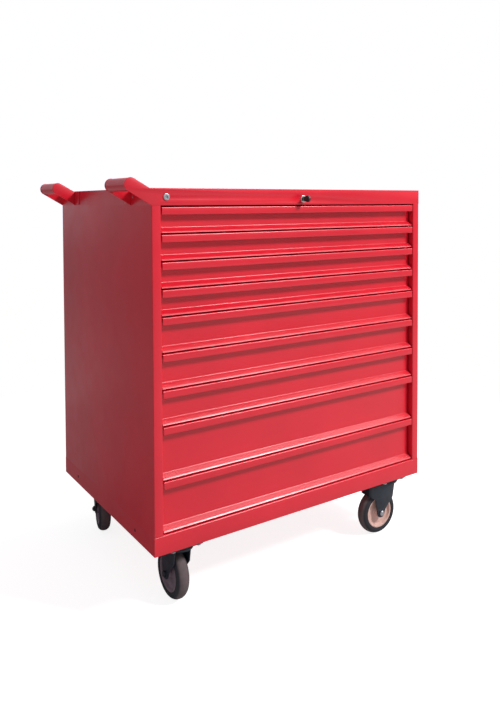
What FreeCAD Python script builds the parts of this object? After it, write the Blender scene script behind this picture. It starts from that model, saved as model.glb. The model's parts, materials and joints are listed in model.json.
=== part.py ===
import FreeCAD, Part

import os
import re

import Sketcher

# Rolling tool chest: a nine-drawer sheet steel cabinet on four swivel casters.
# +Z is up, the drawers face -Y, the push handles are on the -X side.
# The origin is on the floor under the middle of the whole chest's bounding box.
# Lengths are millimetres.

SIZES = {
    # cabinet shell
    "body_width": 1023,       # outside of one side panel to the outside of the other
    "body_deep": 725,         # front plane of the posts to the back
    "plinth_tall": 53,
    "band_tall": 47,          # top band, front and rear
    "band_thick": 2,
    "base_thick": 2,
    "side_skin": 1.5,
    "fold_radius": 1.2,       # outside bend of the side panels
    "post_wide": 27,          # visible face of each front post
    "post_deep": 30,
    "post_hem": 12,
    "rear_flange": 20,
    "band_return": 20,        # fold under the band
    "plinth_return": 24,
    # shallow top
    "tray_deep": 13,
    "tray_skin": 1.5,
    "mat_thick": 3,
    "mat_gap": 1,
    # drawers
    "pitch_shallow": 75,
    "pitch_medium": 100,
    "pitch_deep": 150,
    "front_gap": 4.2,         # below each drawer front, to the next or to the plinth
    "front_side_gap": 3.8,    # drawer front to post
    "front_skin": 1.2,
    "strip_tall": 21,         # grip strip along the top of each drawer front
    "strip_hem": 6,
    "front_recess": 20.5,     # strip face back to the panel face
    "nose_back": 4,           # nose of the lower lip behind the strip face
    "nose_tall": 3,
    "nose_return": 8,
    "lip_drop": 12,           # height of the sloped lip
    "tub_skin": 1,
    "tub_deep": 650,
    "tub_rise": 8,            # tub floor above the bottom of the front
    "tub_drop": 10,           # tub rim below the top of the pitch
    # telescopic runners
    "rail_skin": 1.2,
    "rail_gap": 0.6,          # running gap between the nested members
    "rail_long": 640,
    "rail_half": 17,          # half the height of the outer member
    "rail_lip": 11,
    "middle_lip": 8,
    "rail_rise": 28,          # runner centre above the bottom of the front
    "rail_wide": 12.7,        # whole runner, tub side to outer web
    "post_clear": 0.5,        # middle member to post
    "rail_set": 32.5,         # start of the runners behind the front plane
    "upright_wide": 40,
    "upright_inset": 70,      # rear upright in from the end of the runners
    # central lock
    "lock_drop": 29.5,        # lock axis below the top of the band
    "lock_face_radius": 11,
    "lock_face_thick": 3,
    "lock_body_radius": 9,
    "lock_body_long": 25,
    "lock_nut_radius": 13,
    "lock_nut_thick": 4,
    "barrel_radius": 6,
    "barrel_proud": 3.2,      # barrel face in front of the band
    "turn_fit": 0.1,          # radial running fit of everything that turns
    "cam_radius": 13,
    "cam_thick": 3,
    "cam_throw": 8,
    "cam_pin_radius": 2,
    "cam_pin_long": 8,
    "pin_slack": 2.2,         # slot above and below the cam pin
    "key_thick": 2,
    "key_tall": 8,
    "key_in": 14,
    "key_bow_start": 6.5,     # bow in front of the band
    "key_bow_radius": 10,
    "key_bow_long": 26,
    "key_bow_thick": 7,
    "key_neck_half": 8,       # half the height of the bow where the blade enters
    "key_ring_in": 5,         # ring hole in from the middle of the bow's round end
    "key_ring_radius": 2.5,
    "bar_thick": 3,
    "bar_wide": 12,
    "bar_set": 110,           # lock bar behind the front plane
    "bar_clear": 1,           # bar to cam, finger to catch
    "arm_tall": 16,
    "finger_tall": 6,
    "catch_tall": 5,
    "catch_deep": 6,
    "catch_out": 7,
    "catch_rise": 2,          # catch above the runner
    "finger_reach": 9.8,      # finger in past the back of the runner
    # push handles on the left side
    "grip_reach": 58.5,       # grip axis out from the side
    "arm_wide": 38,
    "arm_angle": 30,
    "grip_radius": 18,
    "grip_wall": 2,
    "grip_long": 132,
    "bracket_thick": 3,
    "flange_wide": 40,
    "flange_trim": 3,
    "cheek_screw": 9,         # screw through the side panel, beside the inner cheek
    # screws
    "hole_fit": 0.1,          # radial fit of every screw in its hole
    "cap_head_radius": 9.5,
    "cap_head_tall": 3,
    "cap_shank_radius": 5,
    "cap_shank_long": 14,
    "cap_socket": 4.6,        # circumradius of the hexagon socket
    "cap_socket_deep": 4,
    "cap_inset": 43.5,        # in from the left side
    "cap_rise": 23,           # above the bottom of the band
    "stud_head_radius": 4.5,
    "stud_head_tall": 1.2,
    "stud_shank_radius": 2.4,
    "stud_shank_long": 4,
    "stud_y": 234,
    "stud_rise": 25,
    "stud_top_drop": 23,
    # casters
    "head_tall": 37,          # top of the wheels to the underside of the cabinet
    "swivel_x": 407,
    "swivel_front": 315,
    "swivel_rear": 298,
    "plate_long": 105,
    "plate_wide": 85,
    "plate_thick": 5,
    "bolt_x": 40,
    "bolt_y": 30,
    "bolt_radius": 4,
    "bolt_head_radius": 7.5,
    "bolt_head_tall": 6,
    "race_radius": 38,
    "race_tall": 9,
    "race_gap": 0.4,
    "kingpin_radius": 6,
    "kingpin_head_radius": 10,
    "kingpin_head_tall": 6,
    "fork_crown": 35,         # radius of the fork's round top
    "fork_thick": 4,
    "fork_half": 27,          # swivel axis to the outside of a leg
    "fork_tail": 99,          # swivel axis to the back of the web
    "fork_bend": 12,          # outside bend between the web and a leg
    "fork_nose": 13,          # front edge of a leg, at its top and at its knee
    "fork_knee": 4,
    "fork_knee_drop": 52,     # knee below the top of the fork
    "fork_waist": 24,         # back edge of a leg behind the axle
    "fork_waist_drop": 48,
    "fork_toe": 20,           # front edge of a leg ahead of the axle
    "fork_toe_rise": 9,
    "fork_end_radius": 16,
    "web_clear": 4,           # web above the tyre
    "caster_offset": 50,      # swivel axis to wheel axle
    "wheel_radius": 75,
    "wheel_half": 20,
    "tread_flat": 6,          # half width of the flat of the tread
    "tread_drop": 4.2,        # fall of the tread halfway to its shoulder
    "shoulder_drop": 15,
    "tyre_thick": 22.5,
    "hub_half": 17.5,
    "hub_rim": 5,             # flat ring round the dish
    "boss_radius": 17,
    "boss_half": 22,
    "dish_deep": 8,
    "dish_slope": 4,
    "axle_radius": 5,
    "axle_hex": 9,
    "axle_hex_tall": 6,
    "axle_proud": 3,          # thread past the nut
    # brake pedals
    "pedal_wide": 44,
    "pedal_long": 34,
    "pedal_thick": 4,
    "pedal_eye_radius": 6,
    "pedal_pin_radius": 3,
    "pedal_gap": 0.5,
    "pedal_pin_in": 12,       # pedal pivot outside the web
    "pedal_pin_drop": 9,      # pedal pivot below the fork crown
    "shoe_wide": 30,          # brake shoe, hanging from the pedal behind the tyre
    "shoe_drop": 35,
    # how far cutting shapes run past the faces that they open
    "cut_past": 1,
}

# Drawers from the top down, each named by the pitch that it takes.
DRAWERS = ["pitch_shallow"] * 4 + ["pitch_medium"] * 3 + ["pitch_deep"] * 2

# Casters: side of the chest in X and Y, and the way the wheel trails, in degrees
# turned from -X.
CASTERS = {
    "front_left": (-1, -1, -90.5),
    "front_right": (1, -1, -2),
    "rear_left": (-1, 1, 76),
    "rear_right": (1, 1, 12),
}
BRAKED = ("front_left", "rear_left")

doc = FreeCAD.newDocument("tool_chest")
sheet = doc.addObject("Spreadsheet::Sheet", "Sizes")
for row, (alias, size) in enumerate(SIZES.items(), start=1):
    sheet.set(f"A{row}", alias)
    sheet.set(f"B{row}", str(size))
    sheet.setAlias(f"B{row}", alias)
doc.recompute()

sub_parts = []


# ---- helpers: every length is an expression in the sheet's names ----

def bound(expression):
    """Write an expression of size names the way FreeCAD reads it."""
    return re.sub(r"[a-z]+(?:_[a-z]+)+", r"Sizes.\g<0>", str(expression))


def bind(item, **sizes):
    """Bind properties of an object to expressions."""
    for name, expression in sizes.items():
        item.setExpression(name, bound(expression))
    return item


def move(item, across="0", along="0", up="0"):
    """Bind an object's place."""
    for axis, expression in zip("xyz", (across, along, up)):
        item.setExpression(f"Placement.Base.{axis}", bound(expression))
    return item


def box(low, high):
    """A block between two corners, each three expressions."""
    item = doc.addObject("Part::Box", "Block")
    long, wide, tall = (f"({b}) - ({a})" for a, b in zip(low, high))
    bind(item, Length=long, Width=wide, Height=tall)
    return move(item, *low)


TURN = {"x": FreeCAD.Rotation(FreeCAD.Vector(0, 1, 0), 90),
        "y": FreeCAD.Rotation(FreeCAD.Vector(1, 0, 0), -90),
        "z": FreeCAD.Rotation()}


def rod(axis, start, radius, long):
    """A cylinder from a start point along +X, +Y or +Z."""
    item = doc.addObject("Part::Cylinder", "Rod")
    bind(item, Radius=radius, Height=long)
    item.Placement = FreeCAD.Placement(FreeCAD.Vector(), TURN[axis])
    return move(item, *start)


def hexagon(axis, start, radius, long):
    """A hexagonal prism from a start point along +X, +Y or +Z."""
    item = doc.addObject("Part::Prism", "Hexagon")
    item.Polygon = 6
    bind(item, Circumradius=radius, Height=long)
    item.Placement = FreeCAD.Placement(FreeCAD.Vector(), TURN[axis])
    return move(item, *start)


def fuse(items):
    """One solid from several."""
    item = doc.addObject("Part::MultiFuse", "Joined")
    item.Shapes = items
    return item


def cut(base, tools):
    """A solid with others taken out of it."""
    item = doc.addObject("Part::Cut", "Cut")
    item.Base = base
    item.Tool = tools[0] if len(tools) == 1 else fuse(tools)
    return item


def group(items):
    """Several separate solids in one node."""
    item = doc.addObject("Part::Compound", "Group")
    item.Links = items
    return item


def new_body(name):
    return doc.addObject("PartDesign::Body", name)


def sketch_on(body, plane, offset="0"):
    """A sketch on one of the body's own origin planes, moved along its normal."""
    sketch = body.newObject("Sketcher::SketchObject", "Sketch")
    origin_plane = [f for f in body.Origin.OriginFeatures if f.Role == plane][0]
    sketch.AttachmentSupport = (origin_plane, "")
    sketch.MapMode = "FlatFace"
    sketch.setExpression("AttachmentOffset.Base.z", bound(offset))
    return sketch


def outline(sketch, points):
    """A closed outline of straight lines, each corner bound to two expressions."""
    first = sketch.GeometryCount
    count = len(points)
    spots = [FreeCAD.Vector(i, (i * i) % 7, 0) for i in range(count)]
    for i in range(count):
        sketch.addGeometry(Part.LineSegment(spots[i], spots[(i + 1) % count]))
    for i in range(count):
        link = (first + i, 2, first + (i + 1) % count, 1)
        sketch.addConstraint(Sketcher.Constraint("Coincident", *link))
    for i, corner in enumerate(points):
        for kind, expression in zip(("DistanceX", "DistanceY"), corner):
            tie = Sketcher.Constraint(kind, -1, 1, first + i, 1, 1.0)
            number = sketch.addConstraint(tie)
            sketch.setExpression(f"Constraints[{number}]", bound(expression))
    return sketch


def circle(sketch, across, up, radius):
    """A circle with its centre and radius bound to expressions."""
    number = sketch.addGeometry(Part.Circle(FreeCAD.Vector(1, 1, 0), FreeCAD.Vector(0, 0, 1), 1))
    ties = (("DistanceX", (-1, 1, number, 3), across), ("DistanceY", (-1, 1, number, 3), up),
            ("Radius", (number,), radius))
    for kind, where, expression in ties:
        tie = sketch.addConstraint(Sketcher.Constraint(kind, *where, 1.0))
        sketch.setExpression(f"Constraints[{tie}]", bound(expression))
    return sketch


def pad(body, sketch, long, symmetric=False, backwards=False):
    """Extrude a sketch and add it to the body."""
    feature = body.newObject("PartDesign::Pad", "Pad")
    feature.Profile = sketch
    feature.SideType = "Symmetric" if symmetric else "One side"
    feature.Reversed = backwards
    return bind(feature, Length=long)


def pocket(body, sketch, long, symmetric=False, backwards=False):
    """Extrude a sketch and take it out of the body, and see that it cut something."""
    doc.recompute()
    before = body.Shape.Volume
    feature = body.newObject("PartDesign::Pocket", "Pocket")
    feature.Profile = sketch
    feature.SideType = "Symmetric" if symmetric else "One side"
    feature.Reversed = backwards
    bind(feature, Length=long)
    doc.recompute()
    if body.Shape.Volume > before - 0.01:
        raise ValueError(f"{body.Label}: a pocket cut nothing")
    return feature


def finish(item, label, across="0", along="0", up="0", turned=0):
    """Name a sub-part and set it in the chest, cabinet middle at the given offset."""
    item.Label = label
    if turned:
        item.Placement = FreeCAD.Placement(
            FreeCAD.Vector(), FreeCAD.Rotation(FreeCAD.Vector(0, 0, 1), turned))
    move(item, f"{MID_X} + ({across})", f"{MID_Y} + ({along})", up)
    sub_parts.append(item)
    return item


# ---- places that several sub-parts share ----

# The handles reach out on the left only and the key in front, so the cabinet's middle
# lies off the origin by half of each.
HANDLE_OUT = "(grip_reach + arm_wide / 2)"
KEY_OUT = "(key_bow_start + key_bow_long)"
MID_X = f"(({HANDLE_OUT} - stud_head_tall) / 2)"
MID_Y = f"(({KEY_OUT} - cap_head_tall) / 2)"

UNDER = "(2 * wheel_radius + head_tall)"
HALF_W = "(body_width / 2)"
HALF_D = "(body_deep / 2)"
DRAWER_STACK = " + ".join(f"{DRAWERS.count(p)} * {p}" for p in dict.fromkeys(DRAWERS))
BAND_LOW = f"({UNDER} + plinth_tall + {DRAWER_STACK})"
TOP = f"({BAND_LOW} + band_tall)"
INNER_HALF = f"({HALF_W} - side_skin)"

LOCK_UP = f"({TOP} - lock_drop)"

# Runner stack, from the tub outwards.
MIDDLE_OUT = f"({HALF_W} - post_wide - post_clear)"
OUTER_OUT = f"({MIDDLE_OUT} + rail_gap + rail_skin)"
TUB_HALF = f"({OUTER_OUT} - rail_wide)"
FRONT_BACK = f"(-{HALF_D} + front_recess + front_skin)"

# Push handle arm: a strip arm_wide wide that leaves the band's corner at arm_angle.
GRIP_X = f"(-{HALF_W} - grip_reach)"
ARM_RUN = "((grip_reach + arm_wide / 2 * sin(arm_angle)) / cos(arm_angle))"
GRIP_UP = f"({BAND_LOW} + {ARM_RUN} * sin(arm_angle) + arm_wide / 2 * cos(arm_angle))"
ARM_NORMAL_X = "(arm_wide / 2 * sin(arm_angle))"
ARM_NORMAL_Z = "(arm_wide / 2 * cos(arm_angle))"
ARM_BEND_X = (f"(-{HALF_W} + 2 * {ARM_NORMAL_X}"
              f" - (band_tall - 2 * {ARM_NORMAL_Z}) / tan(arm_angle))")
ARM_TIP = [(f"{GRIP_X} + {ARM_NORMAL_X}", f"{GRIP_UP} + {ARM_NORMAL_Z}"),
           (f"{GRIP_X} - {ARM_NORMAL_X}", f"{GRIP_UP} - {ARM_NORMAL_Z}")]
CHEEK_IN = f"({HALF_D} - band_thick - grip_long)"


def drawer_floor(number):
    """Height of the bottom of a drawer's front, counted from the top drawer as 1."""
    below = DRAWERS[number:]
    terms = [f"{below.count(p)} * {p}" for p in dict.fromkeys(below)]
    return "(" + " + ".join([UNDER, "plinth_tall"] + terms) + ")"


# ---- cabinet shell ----

def side_panel(name, side):
    """One folded sheet: skin, front post with its hem, and a rear flange."""
    body = new_body(name)
    post = [
        (f"{side} * {HALF_W}", f"-{HALF_D}"),
        (f"{side} * ({HALF_W} - post_wide)", f"-{HALF_D}"),
        (f"{side} * ({HALF_W} - post_wide)", f"-{HALF_D} + post_deep"),
        (f"{side} * ({HALF_W} - post_wide + post_hem)", f"-{HALF_D} + post_deep"),
        (f"{side} * ({HALF_W} - post_wide + post_hem)", f"-{HALF_D} + post_deep - side_skin"),
        (f"{side} * ({HALF_W} - post_wide + side_skin)", f"-{HALF_D} + post_deep - side_skin"),
        (f"{side} * ({HALF_W} - post_wide + side_skin)", f"-{HALF_D} + side_skin"),
        (f"{side} * {INNER_HALF}", f"-{HALF_D} + side_skin"),
        (f"{side} * {INNER_HALF}", f"{HALF_D} - side_skin"),
        (f"{side} * ({HALF_W} - rear_flange)", f"{HALF_D} - side_skin"),
        (f"{side} * ({HALF_W} - rear_flange)", f"{HALF_D}"),
        (f"{side} * {HALF_W}", f"{HALF_D}"),
    ]
    folded = pad(body, outline(sketch_on(body, "XY_Plane", f"{UNDER} + plinth_tall"), post),
                 f"{BAND_LOW} - {UNDER} - plinth_tall")
    doc.recompute()
    outside = max(abs(vertex.X) for vertex in body.Shape.Vertexes)
    folds = [f"Edge{i}" for i, edge in enumerate(body.Shape.Edges, start=1)
             if all(abs(abs(vertex.X) - outside) < 0.01 for vertex in edge.Vertexes)
             and edge.BoundBox.ZLength > 1]
    fillet = body.newObject("PartDesign::Fillet", "Folds")
    fillet.Base = (folded, folds)
    bind(fillet, Radius="fold_radius")
    for low, high, thick in ((UNDER, f"{UNDER} + plinth_tall", "base_thick"),
                             (BAND_LOW, TOP, "band_thick")):
        strip = [(f"{side} * {INNER_HALF}", f"-{HALF_D} + {thick}"),
                 (f"{side} * {HALF_W}", f"-{HALF_D} + {thick}"),
                 (f"{side} * {HALF_W}", f"{HALF_D} - {thick}"),
                 (f"{side} * {INNER_HALF}", f"{HALF_D} - {thick}")]
        pad(body, outline(sketch_on(body, "XY_Plane", low), strip), f"({high}) - ({low})")
    holes = sketch_on(body, "YZ_Plane", f"{side} * {INNER_HALF} - side_skin")
    for along, up in stud_places(side):
        circle(holes, along, up, "stud_shank_radius + hole_fit")
    pocket(body, holes, "4 * side_skin", symmetric=True)
    return finish(body, name)


def stud_places(side):
    """Where the small domed screws go through a side panel."""
    places = [(f"{end} * stud_y", f"{UNDER} + stud_rise") for end in (-1, 1)]
    if side < 0:
        places += [(f"{end} * ({CHEEK_IN} + cheek_screw)", f"{TOP} - stud_top_drop")
                   for end in (-1, 1)]
    return places


side_panel("left_side_panel", -1)
side_panel("right_side_panel", 1)

back = box((f"-{INNER_HALF}", f"{HALF_D} - 2 * side_skin", f"{UNDER} + plinth_tall"),
           (INNER_HALF, f"{HALF_D} - side_skin", BAND_LOW))
finish(group([back]), "back_panel")


def swivel_place(side, end):
    """Swivel axis of a caster, from the cabinet's middle."""
    return f"{side} * swivel_x", "-swivel_front" if end < 0 else "swivel_rear"


def bolt_places():
    """The four bolt holes of each caster plate, from the cabinet's middle."""
    for side, end, _ in CASTERS.values():
        x, y = swivel_place(side, end)
        for left in (-1, 1):
            for near in (-1, 1):
                yield f"{x} + {left} * bolt_x", f"{y} + {near} * bolt_y"


base_plates = []
for end in (-1, 1):
    outer, inner = f"{end} * {HALF_D}", f"{end} * ({HALF_D} - base_thick)"
    deep = f"{end} * ({HALF_D} - plinth_return)"
    near, far = (outer, inner) if end < 0 else (inner, outer)
    base_plates.append(box((f"-{HALF_W}", near, UNDER),
                           (HALF_W, far, f"{UNDER} + plinth_tall")))
    near, far = (inner, deep) if end < 0 else (deep, inner)
    base_plates.append(box((f"-{INNER_HALF}", near, f"{UNDER} + plinth_tall - base_thick"),
                           (INNER_HALF, far, f"{UNDER} + plinth_tall")))
base_plates.append(box((f"-{INNER_HALF}", f"-{HALF_D} + base_thick", UNDER),
                       (INNER_HALF, f"{HALF_D} - base_thick", f"{UNDER} + base_thick")))
base_holes = [rod("z", (across, along, f"{UNDER} - base_thick"),
                  "bolt_radius + hole_fit", "3 * base_thick")
              for across, along in bolt_places()]
finish(cut(fuse(base_plates), base_holes), "base_pan")


def band(name, end):
    """Top band: a flat plate that runs on to the left as a handle cheek."""
    body = new_body(name)
    plate = [(f"-{HALF_W}", BAND_LOW), (HALF_W, BAND_LOW), (HALF_W, TOP), (ARM_BEND_X, TOP)]
    inwards = end < 0
    pad(body, outline(sketch_on(body, "XZ_Plane", f"{-end} * {HALF_D}"), plate + ARM_TIP),
        "band_thick", backwards=inwards)
    pad(body, circle(sketch_on(body, "XZ_Plane", f"{-end} * {HALF_D}"),
                     GRIP_X, GRIP_UP, "arm_wide / 2"), "band_thick", backwards=inwards)
    fold = [(f"{end} * ({HALF_D} - band_thick / 2)", BAND_LOW),
            (f"{end} * ({HALF_D} - band_return)", BAND_LOW),
            (f"{end} * ({HALF_D} - band_return)", f"{BAND_LOW} + band_thick"),
            (f"{end} * ({HALF_D} - band_thick / 2)", f"{BAND_LOW} + band_thick")]
    pad(body, outline(sketch_on(body, "YZ_Plane"), fold), f"2 * {INNER_HALF}", symmetric=True)
    holes = sketch_on(body, "XZ_Plane", f"{-end} * {HALF_D}")
    circle(holes, f"-{HALF_W} + cap_inset", f"{BAND_LOW} + cap_rise",
           "cap_shank_radius + hole_fit")
    if end < 0:
        circle(holes, "0", LOCK_UP, "lock_body_radius + hole_fit")
    pocket(body, holes, "4 * band_thick", symmetric=True)
    return finish(body, name)


band("front_band", -1)
band("rear_band", 1)

TRAY_LOW = f"({TOP} - tray_deep)"
TRAY_HALF_Y = f"({HALF_D} - band_thick)"
tray = box((f"-{INNER_HALF}", f"-{TRAY_HALF_Y}", TRAY_LOW), (INNER_HALF, TRAY_HALF_Y, TOP))
tray_room = box((f"-{INNER_HALF} + tray_skin", f"-{TRAY_HALF_Y} + tray_skin",
                 f"{TRAY_LOW} + tray_skin"),
                (f"{INNER_HALF} - tray_skin", f"{TRAY_HALF_Y} - tray_skin", f"{TOP} + tray_skin"))
finish(cut(tray, [tray_room]), "top_tray")

MAT_X = f"({INNER_HALF} - tray_skin - mat_gap)"
MAT_Y = f"({TRAY_HALF_Y} - tray_skin - mat_gap)"
mat = box((f"-{MAT_X}", f"-{MAT_Y}", f"{TRAY_LOW} + tray_skin"),
          (MAT_X, MAT_Y, f"{TRAY_LOW} + tray_skin + mat_thick"))
finish(group([mat]), "top_mat")


# ---- push handles ----

def handle_bracket(end):
    """Inner cheek of a push handle with the flange that is screwed to the side."""
    body = new_body("handle_bracket")
    cheek = [(f"-{HALF_W}", BAND_LOW), (f"-{HALF_W}", TOP), (ARM_BEND_X, TOP)]
    face = f"{-end} * ({CHEEK_IN} - bracket_thick / 2)"
    pad(body, outline(sketch_on(body, "XZ_Plane", face), cheek + ARM_TIP),
        "bracket_thick", symmetric=True)
    pad(body, circle(sketch_on(body, "XZ_Plane", face), GRIP_X, GRIP_UP, "arm_wide / 2"),
        "bracket_thick", symmetric=True)
    near = f"{end} * ({CHEEK_IN} - bracket_thick / 2)"
    far = f"{end} * ({CHEEK_IN} - flange_wide)"
    flange = [(near, f"{BAND_LOW} + flange_trim"), (far, f"{BAND_LOW} + flange_trim"),
              (far, f"{TOP} - flange_trim"), (near, f"{TOP} - flange_trim")]
    pad(body, outline(sketch_on(body, "YZ_Plane", f"-{HALF_W}"), flange), "bracket_thick",
        backwards=True)
    return body


def grip(end):
    """Round grip tube, welded between its two cheeks."""
    start = f"-{HALF_D} + band_thick" if end < 0 else CHEEK_IN
    tube = rod("y", (GRIP_X, start, GRIP_UP), "grip_radius", "grip_long")
    bore = rod("y", (GRIP_X, f"{start} - cut_past", GRIP_UP), "grip_radius - grip_wall",
               "grip_long + 2 * cut_past")
    return cut(tube, [bore])


finish(group([handle_bracket(-1), handle_bracket(1)]), "handle_brackets")
finish(group([grip(-1), grip(1)]), "handle_grips")


# ---- screws ----

def cap_screw(end):
    """Button-head screw with a hexagon socket, through the band."""
    place = (f"-{HALF_W} + cap_inset", f"{BAND_LOW} + cap_rise")
    if end < 0:
        head = f"-{HALF_D} - cap_head_tall"
        shank, socket = f"-{HALF_D}", head
    else:
        head = HALF_D
        shank = f"{HALF_D} - cap_shank_long"
        socket = f"{HALF_D} + cap_head_tall - cap_socket_deep"
    solid = fuse([rod("y", (place[0], head, place[1]), "cap_head_radius", "cap_head_tall"),
                  rod("y", (place[0], shank, place[1]), "cap_shank_radius", "cap_shank_long")])
    return cut(solid, [hexagon("y", (place[0], socket, place[1]), "cap_socket",
                               "cap_socket_deep")])


def stud(side, along, up):
    """Small flat-head screw through a side panel."""
    head = f"-{HALF_W} - stud_head_tall" if side < 0 else HALF_W
    shank = f"-{HALF_W}" if side < 0 else f"{HALF_W} - stud_shank_long"
    return fuse([rod("x", (head, along, up), "stud_head_radius", "stud_head_tall"),
                 rod("x", (shank, along, up), "stud_shank_radius", "stud_shank_long")])


finish(group([cap_screw(-1), cap_screw(1)]), "band_screws")
finish(group([stud(side, along, up) for side in (-1, 1) for along, up in stud_places(side)]),
       "side_screws")

bolts = []
for across, along in bolt_places():
    low = f"{UNDER} - plate_thick - bolt_head_tall"
    bolts.append(fuse([hexagon("z", (across, along, low), "bolt_head_radius", "bolt_head_tall"),
                       rod("z", (across, along, low), "bolt_radius",
                           "bolt_head_tall + plate_thick + base_thick + bolt_head_tall")]))
finish(group(bolts), "caster_bolts")


# ---- drawers and their runners ----

def channel(side, out, lip, half, start, long, up):
    """A C-shaped runner member, open towards the drawer."""
    body = new_body("runner")
    web, edge = f"{side} * ({out})", f"{side} * ({out} - {lip})"
    inside = f"{side} * ({out} - rail_skin)"
    shape = [(web, f"{up} - ({half})"), (web, f"{up} + ({half})"),
             (edge, f"{up} + ({half})"), (edge, f"{up} + ({half}) - rail_skin"),
             (inside, f"{up} + ({half}) - rail_skin"), (inside, f"{up} - ({half}) + rail_skin"),
             (edge, f"{up} - ({half}) + rail_skin"), (edge, f"{up} - ({half})")]
    pad(body, outline(sketch_on(body, "XZ_Plane", f"-({start})"), shape), long, backwards=True)
    return body


RAIL_START = f"(-{HALF_D} + rail_set)"
STEP = "(rail_skin + rail_gap)"


def upright(side, start):
    """A post inside the cabinet that carries the fixed members, open to the side panel."""
    body = new_body("upright")
    web, wall = f"{side} * {OUTER_OUT}", f"{side} * {INNER_HALF}"
    inside = f"{side} * ({OUTER_OUT} + side_skin)"
    end = f"{start} + upright_wide"
    shape = [(web, start), (wall, start), (wall, f"{start} + side_skin"),
             (inside, f"{start} + side_skin"), (inside, f"{end} - side_skin"),
             (wall, f"{end} - side_skin"), (wall, end), (web, end)]
    pad(body, outline(sketch_on(body, "XY_Plane", f"{UNDER} + base_thick"), shape),
        f"{BAND_LOW} - {UNDER} - base_thick")
    return body


racks = [upright(side, start) for side in (-1, 1)
         for start in (RAIL_START, f"({RAIL_START} + rail_long - upright_inset)")]
for number in range(1, len(DRAWERS) + 1):
    rail_up = f"({drawer_floor(number)} + rail_rise)"
    racks += [channel(side, OUTER_OUT, "rail_lip", "rail_half", RAIL_START, "rail_long", rail_up)
              for side in (-1, 1)]
finish(group(racks), "runner_racks")


def drawer_front(number, pitch):
    """One folded sheet: grip strip and hem, recessed panel, sloped lip and nose."""
    low = drawer_floor(number)
    top = f"({low} + {pitch} - front_gap)"
    if number == len(DRAWERS):
        low = f"({low} + front_gap)"
    strip = f"({top} - strip_tall)"
    plane = f"-{HALF_D}"
    panel = f"({plane} + front_recess)"
    nose = f"({plane} + nose_back)"
    # The sheet's thickness measured straight down through the slope of the lip.
    slope = "(front_skin * sqrt(1 + pow(lip_drop / (front_recess - nose_back); 2)))"
    fall = "(front_skin * lip_drop / (front_recess - nose_back))"
    profile = [
        (f"{plane} + strip_hem", strip), (plane, strip), (plane, top),
        (f"{panel} + front_skin", top),
        (f"{panel} + front_skin", f"{low} + nose_tall + lip_drop + {fall} - {slope}"),
        (f"{nose} + front_skin", f"{low} + nose_tall + {fall} - {slope}"),
        (f"{nose} + front_skin", f"{low} + front_skin"),
        (f"{nose} + nose_return", f"{low} + front_skin"), (f"{nose} + nose_return", low),
        (nose, low), (nose, f"{low} + nose_tall"), (panel, f"{low} + nose_tall + lip_drop"),
        (panel, f"{top} - front_skin"), (f"{plane} + front_skin", f"{top} - front_skin"),
        (f"{plane} + front_skin", f"{strip} + front_skin"),
        (f"{plane} + strip_hem", f"{strip} + front_skin"),
    ]
    body = new_body(f"drawer_{number}_front")
    pad(body, outline(sketch_on(body, "YZ_Plane"), profile),
        f"2 * ({HALF_W} - post_wide - front_side_gap)", symmetric=True)
    return body


def drawer_tub(number, pitch):
    """Open sheet steel tub with its lock catch, and the two inner runner members."""
    low = f"({drawer_floor(number)} + tub_rise)"
    rim = f"({drawer_floor(number)} + {pitch} - tub_drop)"
    end = f"({FRONT_BACK} + tub_deep)"
    outside = box((f"-{TUB_HALF}", FRONT_BACK, low), (TUB_HALF, end, rim))
    room = box((f"-{TUB_HALF} + tub_skin", f"{FRONT_BACK} + tub_skin", f"{low} + tub_skin"),
               (f"{TUB_HALF} - tub_skin", f"{end} - tub_skin", f"{rim} + tub_skin"))
    catch_low = f"({drawer_floor(number)} + rail_rise + rail_half + catch_rise)"
    catch = box((f"{TUB_HALF} - tub_skin / 2", f"{FINGER_END} + bar_clear", catch_low),
                (f"{TUB_HALF} + catch_out", f"{FINGER_END} + bar_clear + catch_deep",
                 f"{catch_low} + catch_tall"))
    tub = fuse([cut(outside, [room]), catch])
    up = f"({drawer_floor(number)} + rail_rise)"
    rails = []
    for side in (-1, 1):
        # The inner member is open outwards, so its lips run from the tub to the middle member.
        wide = f"({OUTER_OUT} - 2 * {STEP} - {TUB_HALF})"
        half = f"(rail_half - 2 * {STEP})"
        body = new_body("runner")
        web, edge = f"{side} * {TUB_HALF}", f"{side} * ({TUB_HALF} + {wide})"
        inside = f"{side} * ({TUB_HALF} + rail_skin)"
        shape = [(web, f"{up} - {half}"), (edge, f"{up} - {half}"),
                 (edge, f"{up} - {half} + rail_skin"), (inside, f"{up} - {half} + rail_skin"),
                 (inside, f"{up} + {half} - rail_skin"), (edge, f"{up} + {half} - rail_skin"),
                 (edge, f"{up} + {half}"), (web, f"{up} + {half}")]
        pad(body, outline(sketch_on(body, "XZ_Plane", f"-{RAIL_START}"), shape), "rail_long",
            backwards=True)
        rails.append(body)
    return group([tub] + rails)


# The lock bar's fingers come down in front of the catches on the tubs.
BAR_START = f"(-{HALF_D} + bar_set)"
FINGER_END = f"({BAR_START} + bar_wide)"

for number, pitch in enumerate(DRAWERS, start=1):
    finish(drawer_front(number, pitch), f"drawer_{number}_front")
    finish(drawer_tub(number, pitch), f"drawer_{number}_tub")
    rail_up = f"({drawer_floor(number)} + rail_rise)"
    finish(group([channel(side, MIDDLE_OUT, "middle_lip", f"rail_half - {STEP}", RAIL_START,
                          "rail_long", rail_up) for side in (-1, 1)]),
           f"drawer_{number}_middle_runners")


# ---- central lock ----

FACE = f"(-{HALF_D})"
CAM_START = f"({FACE} + lock_body_long + bar_clear)"
CAM_END = f"({CAM_START} + cam_thick)"

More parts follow.
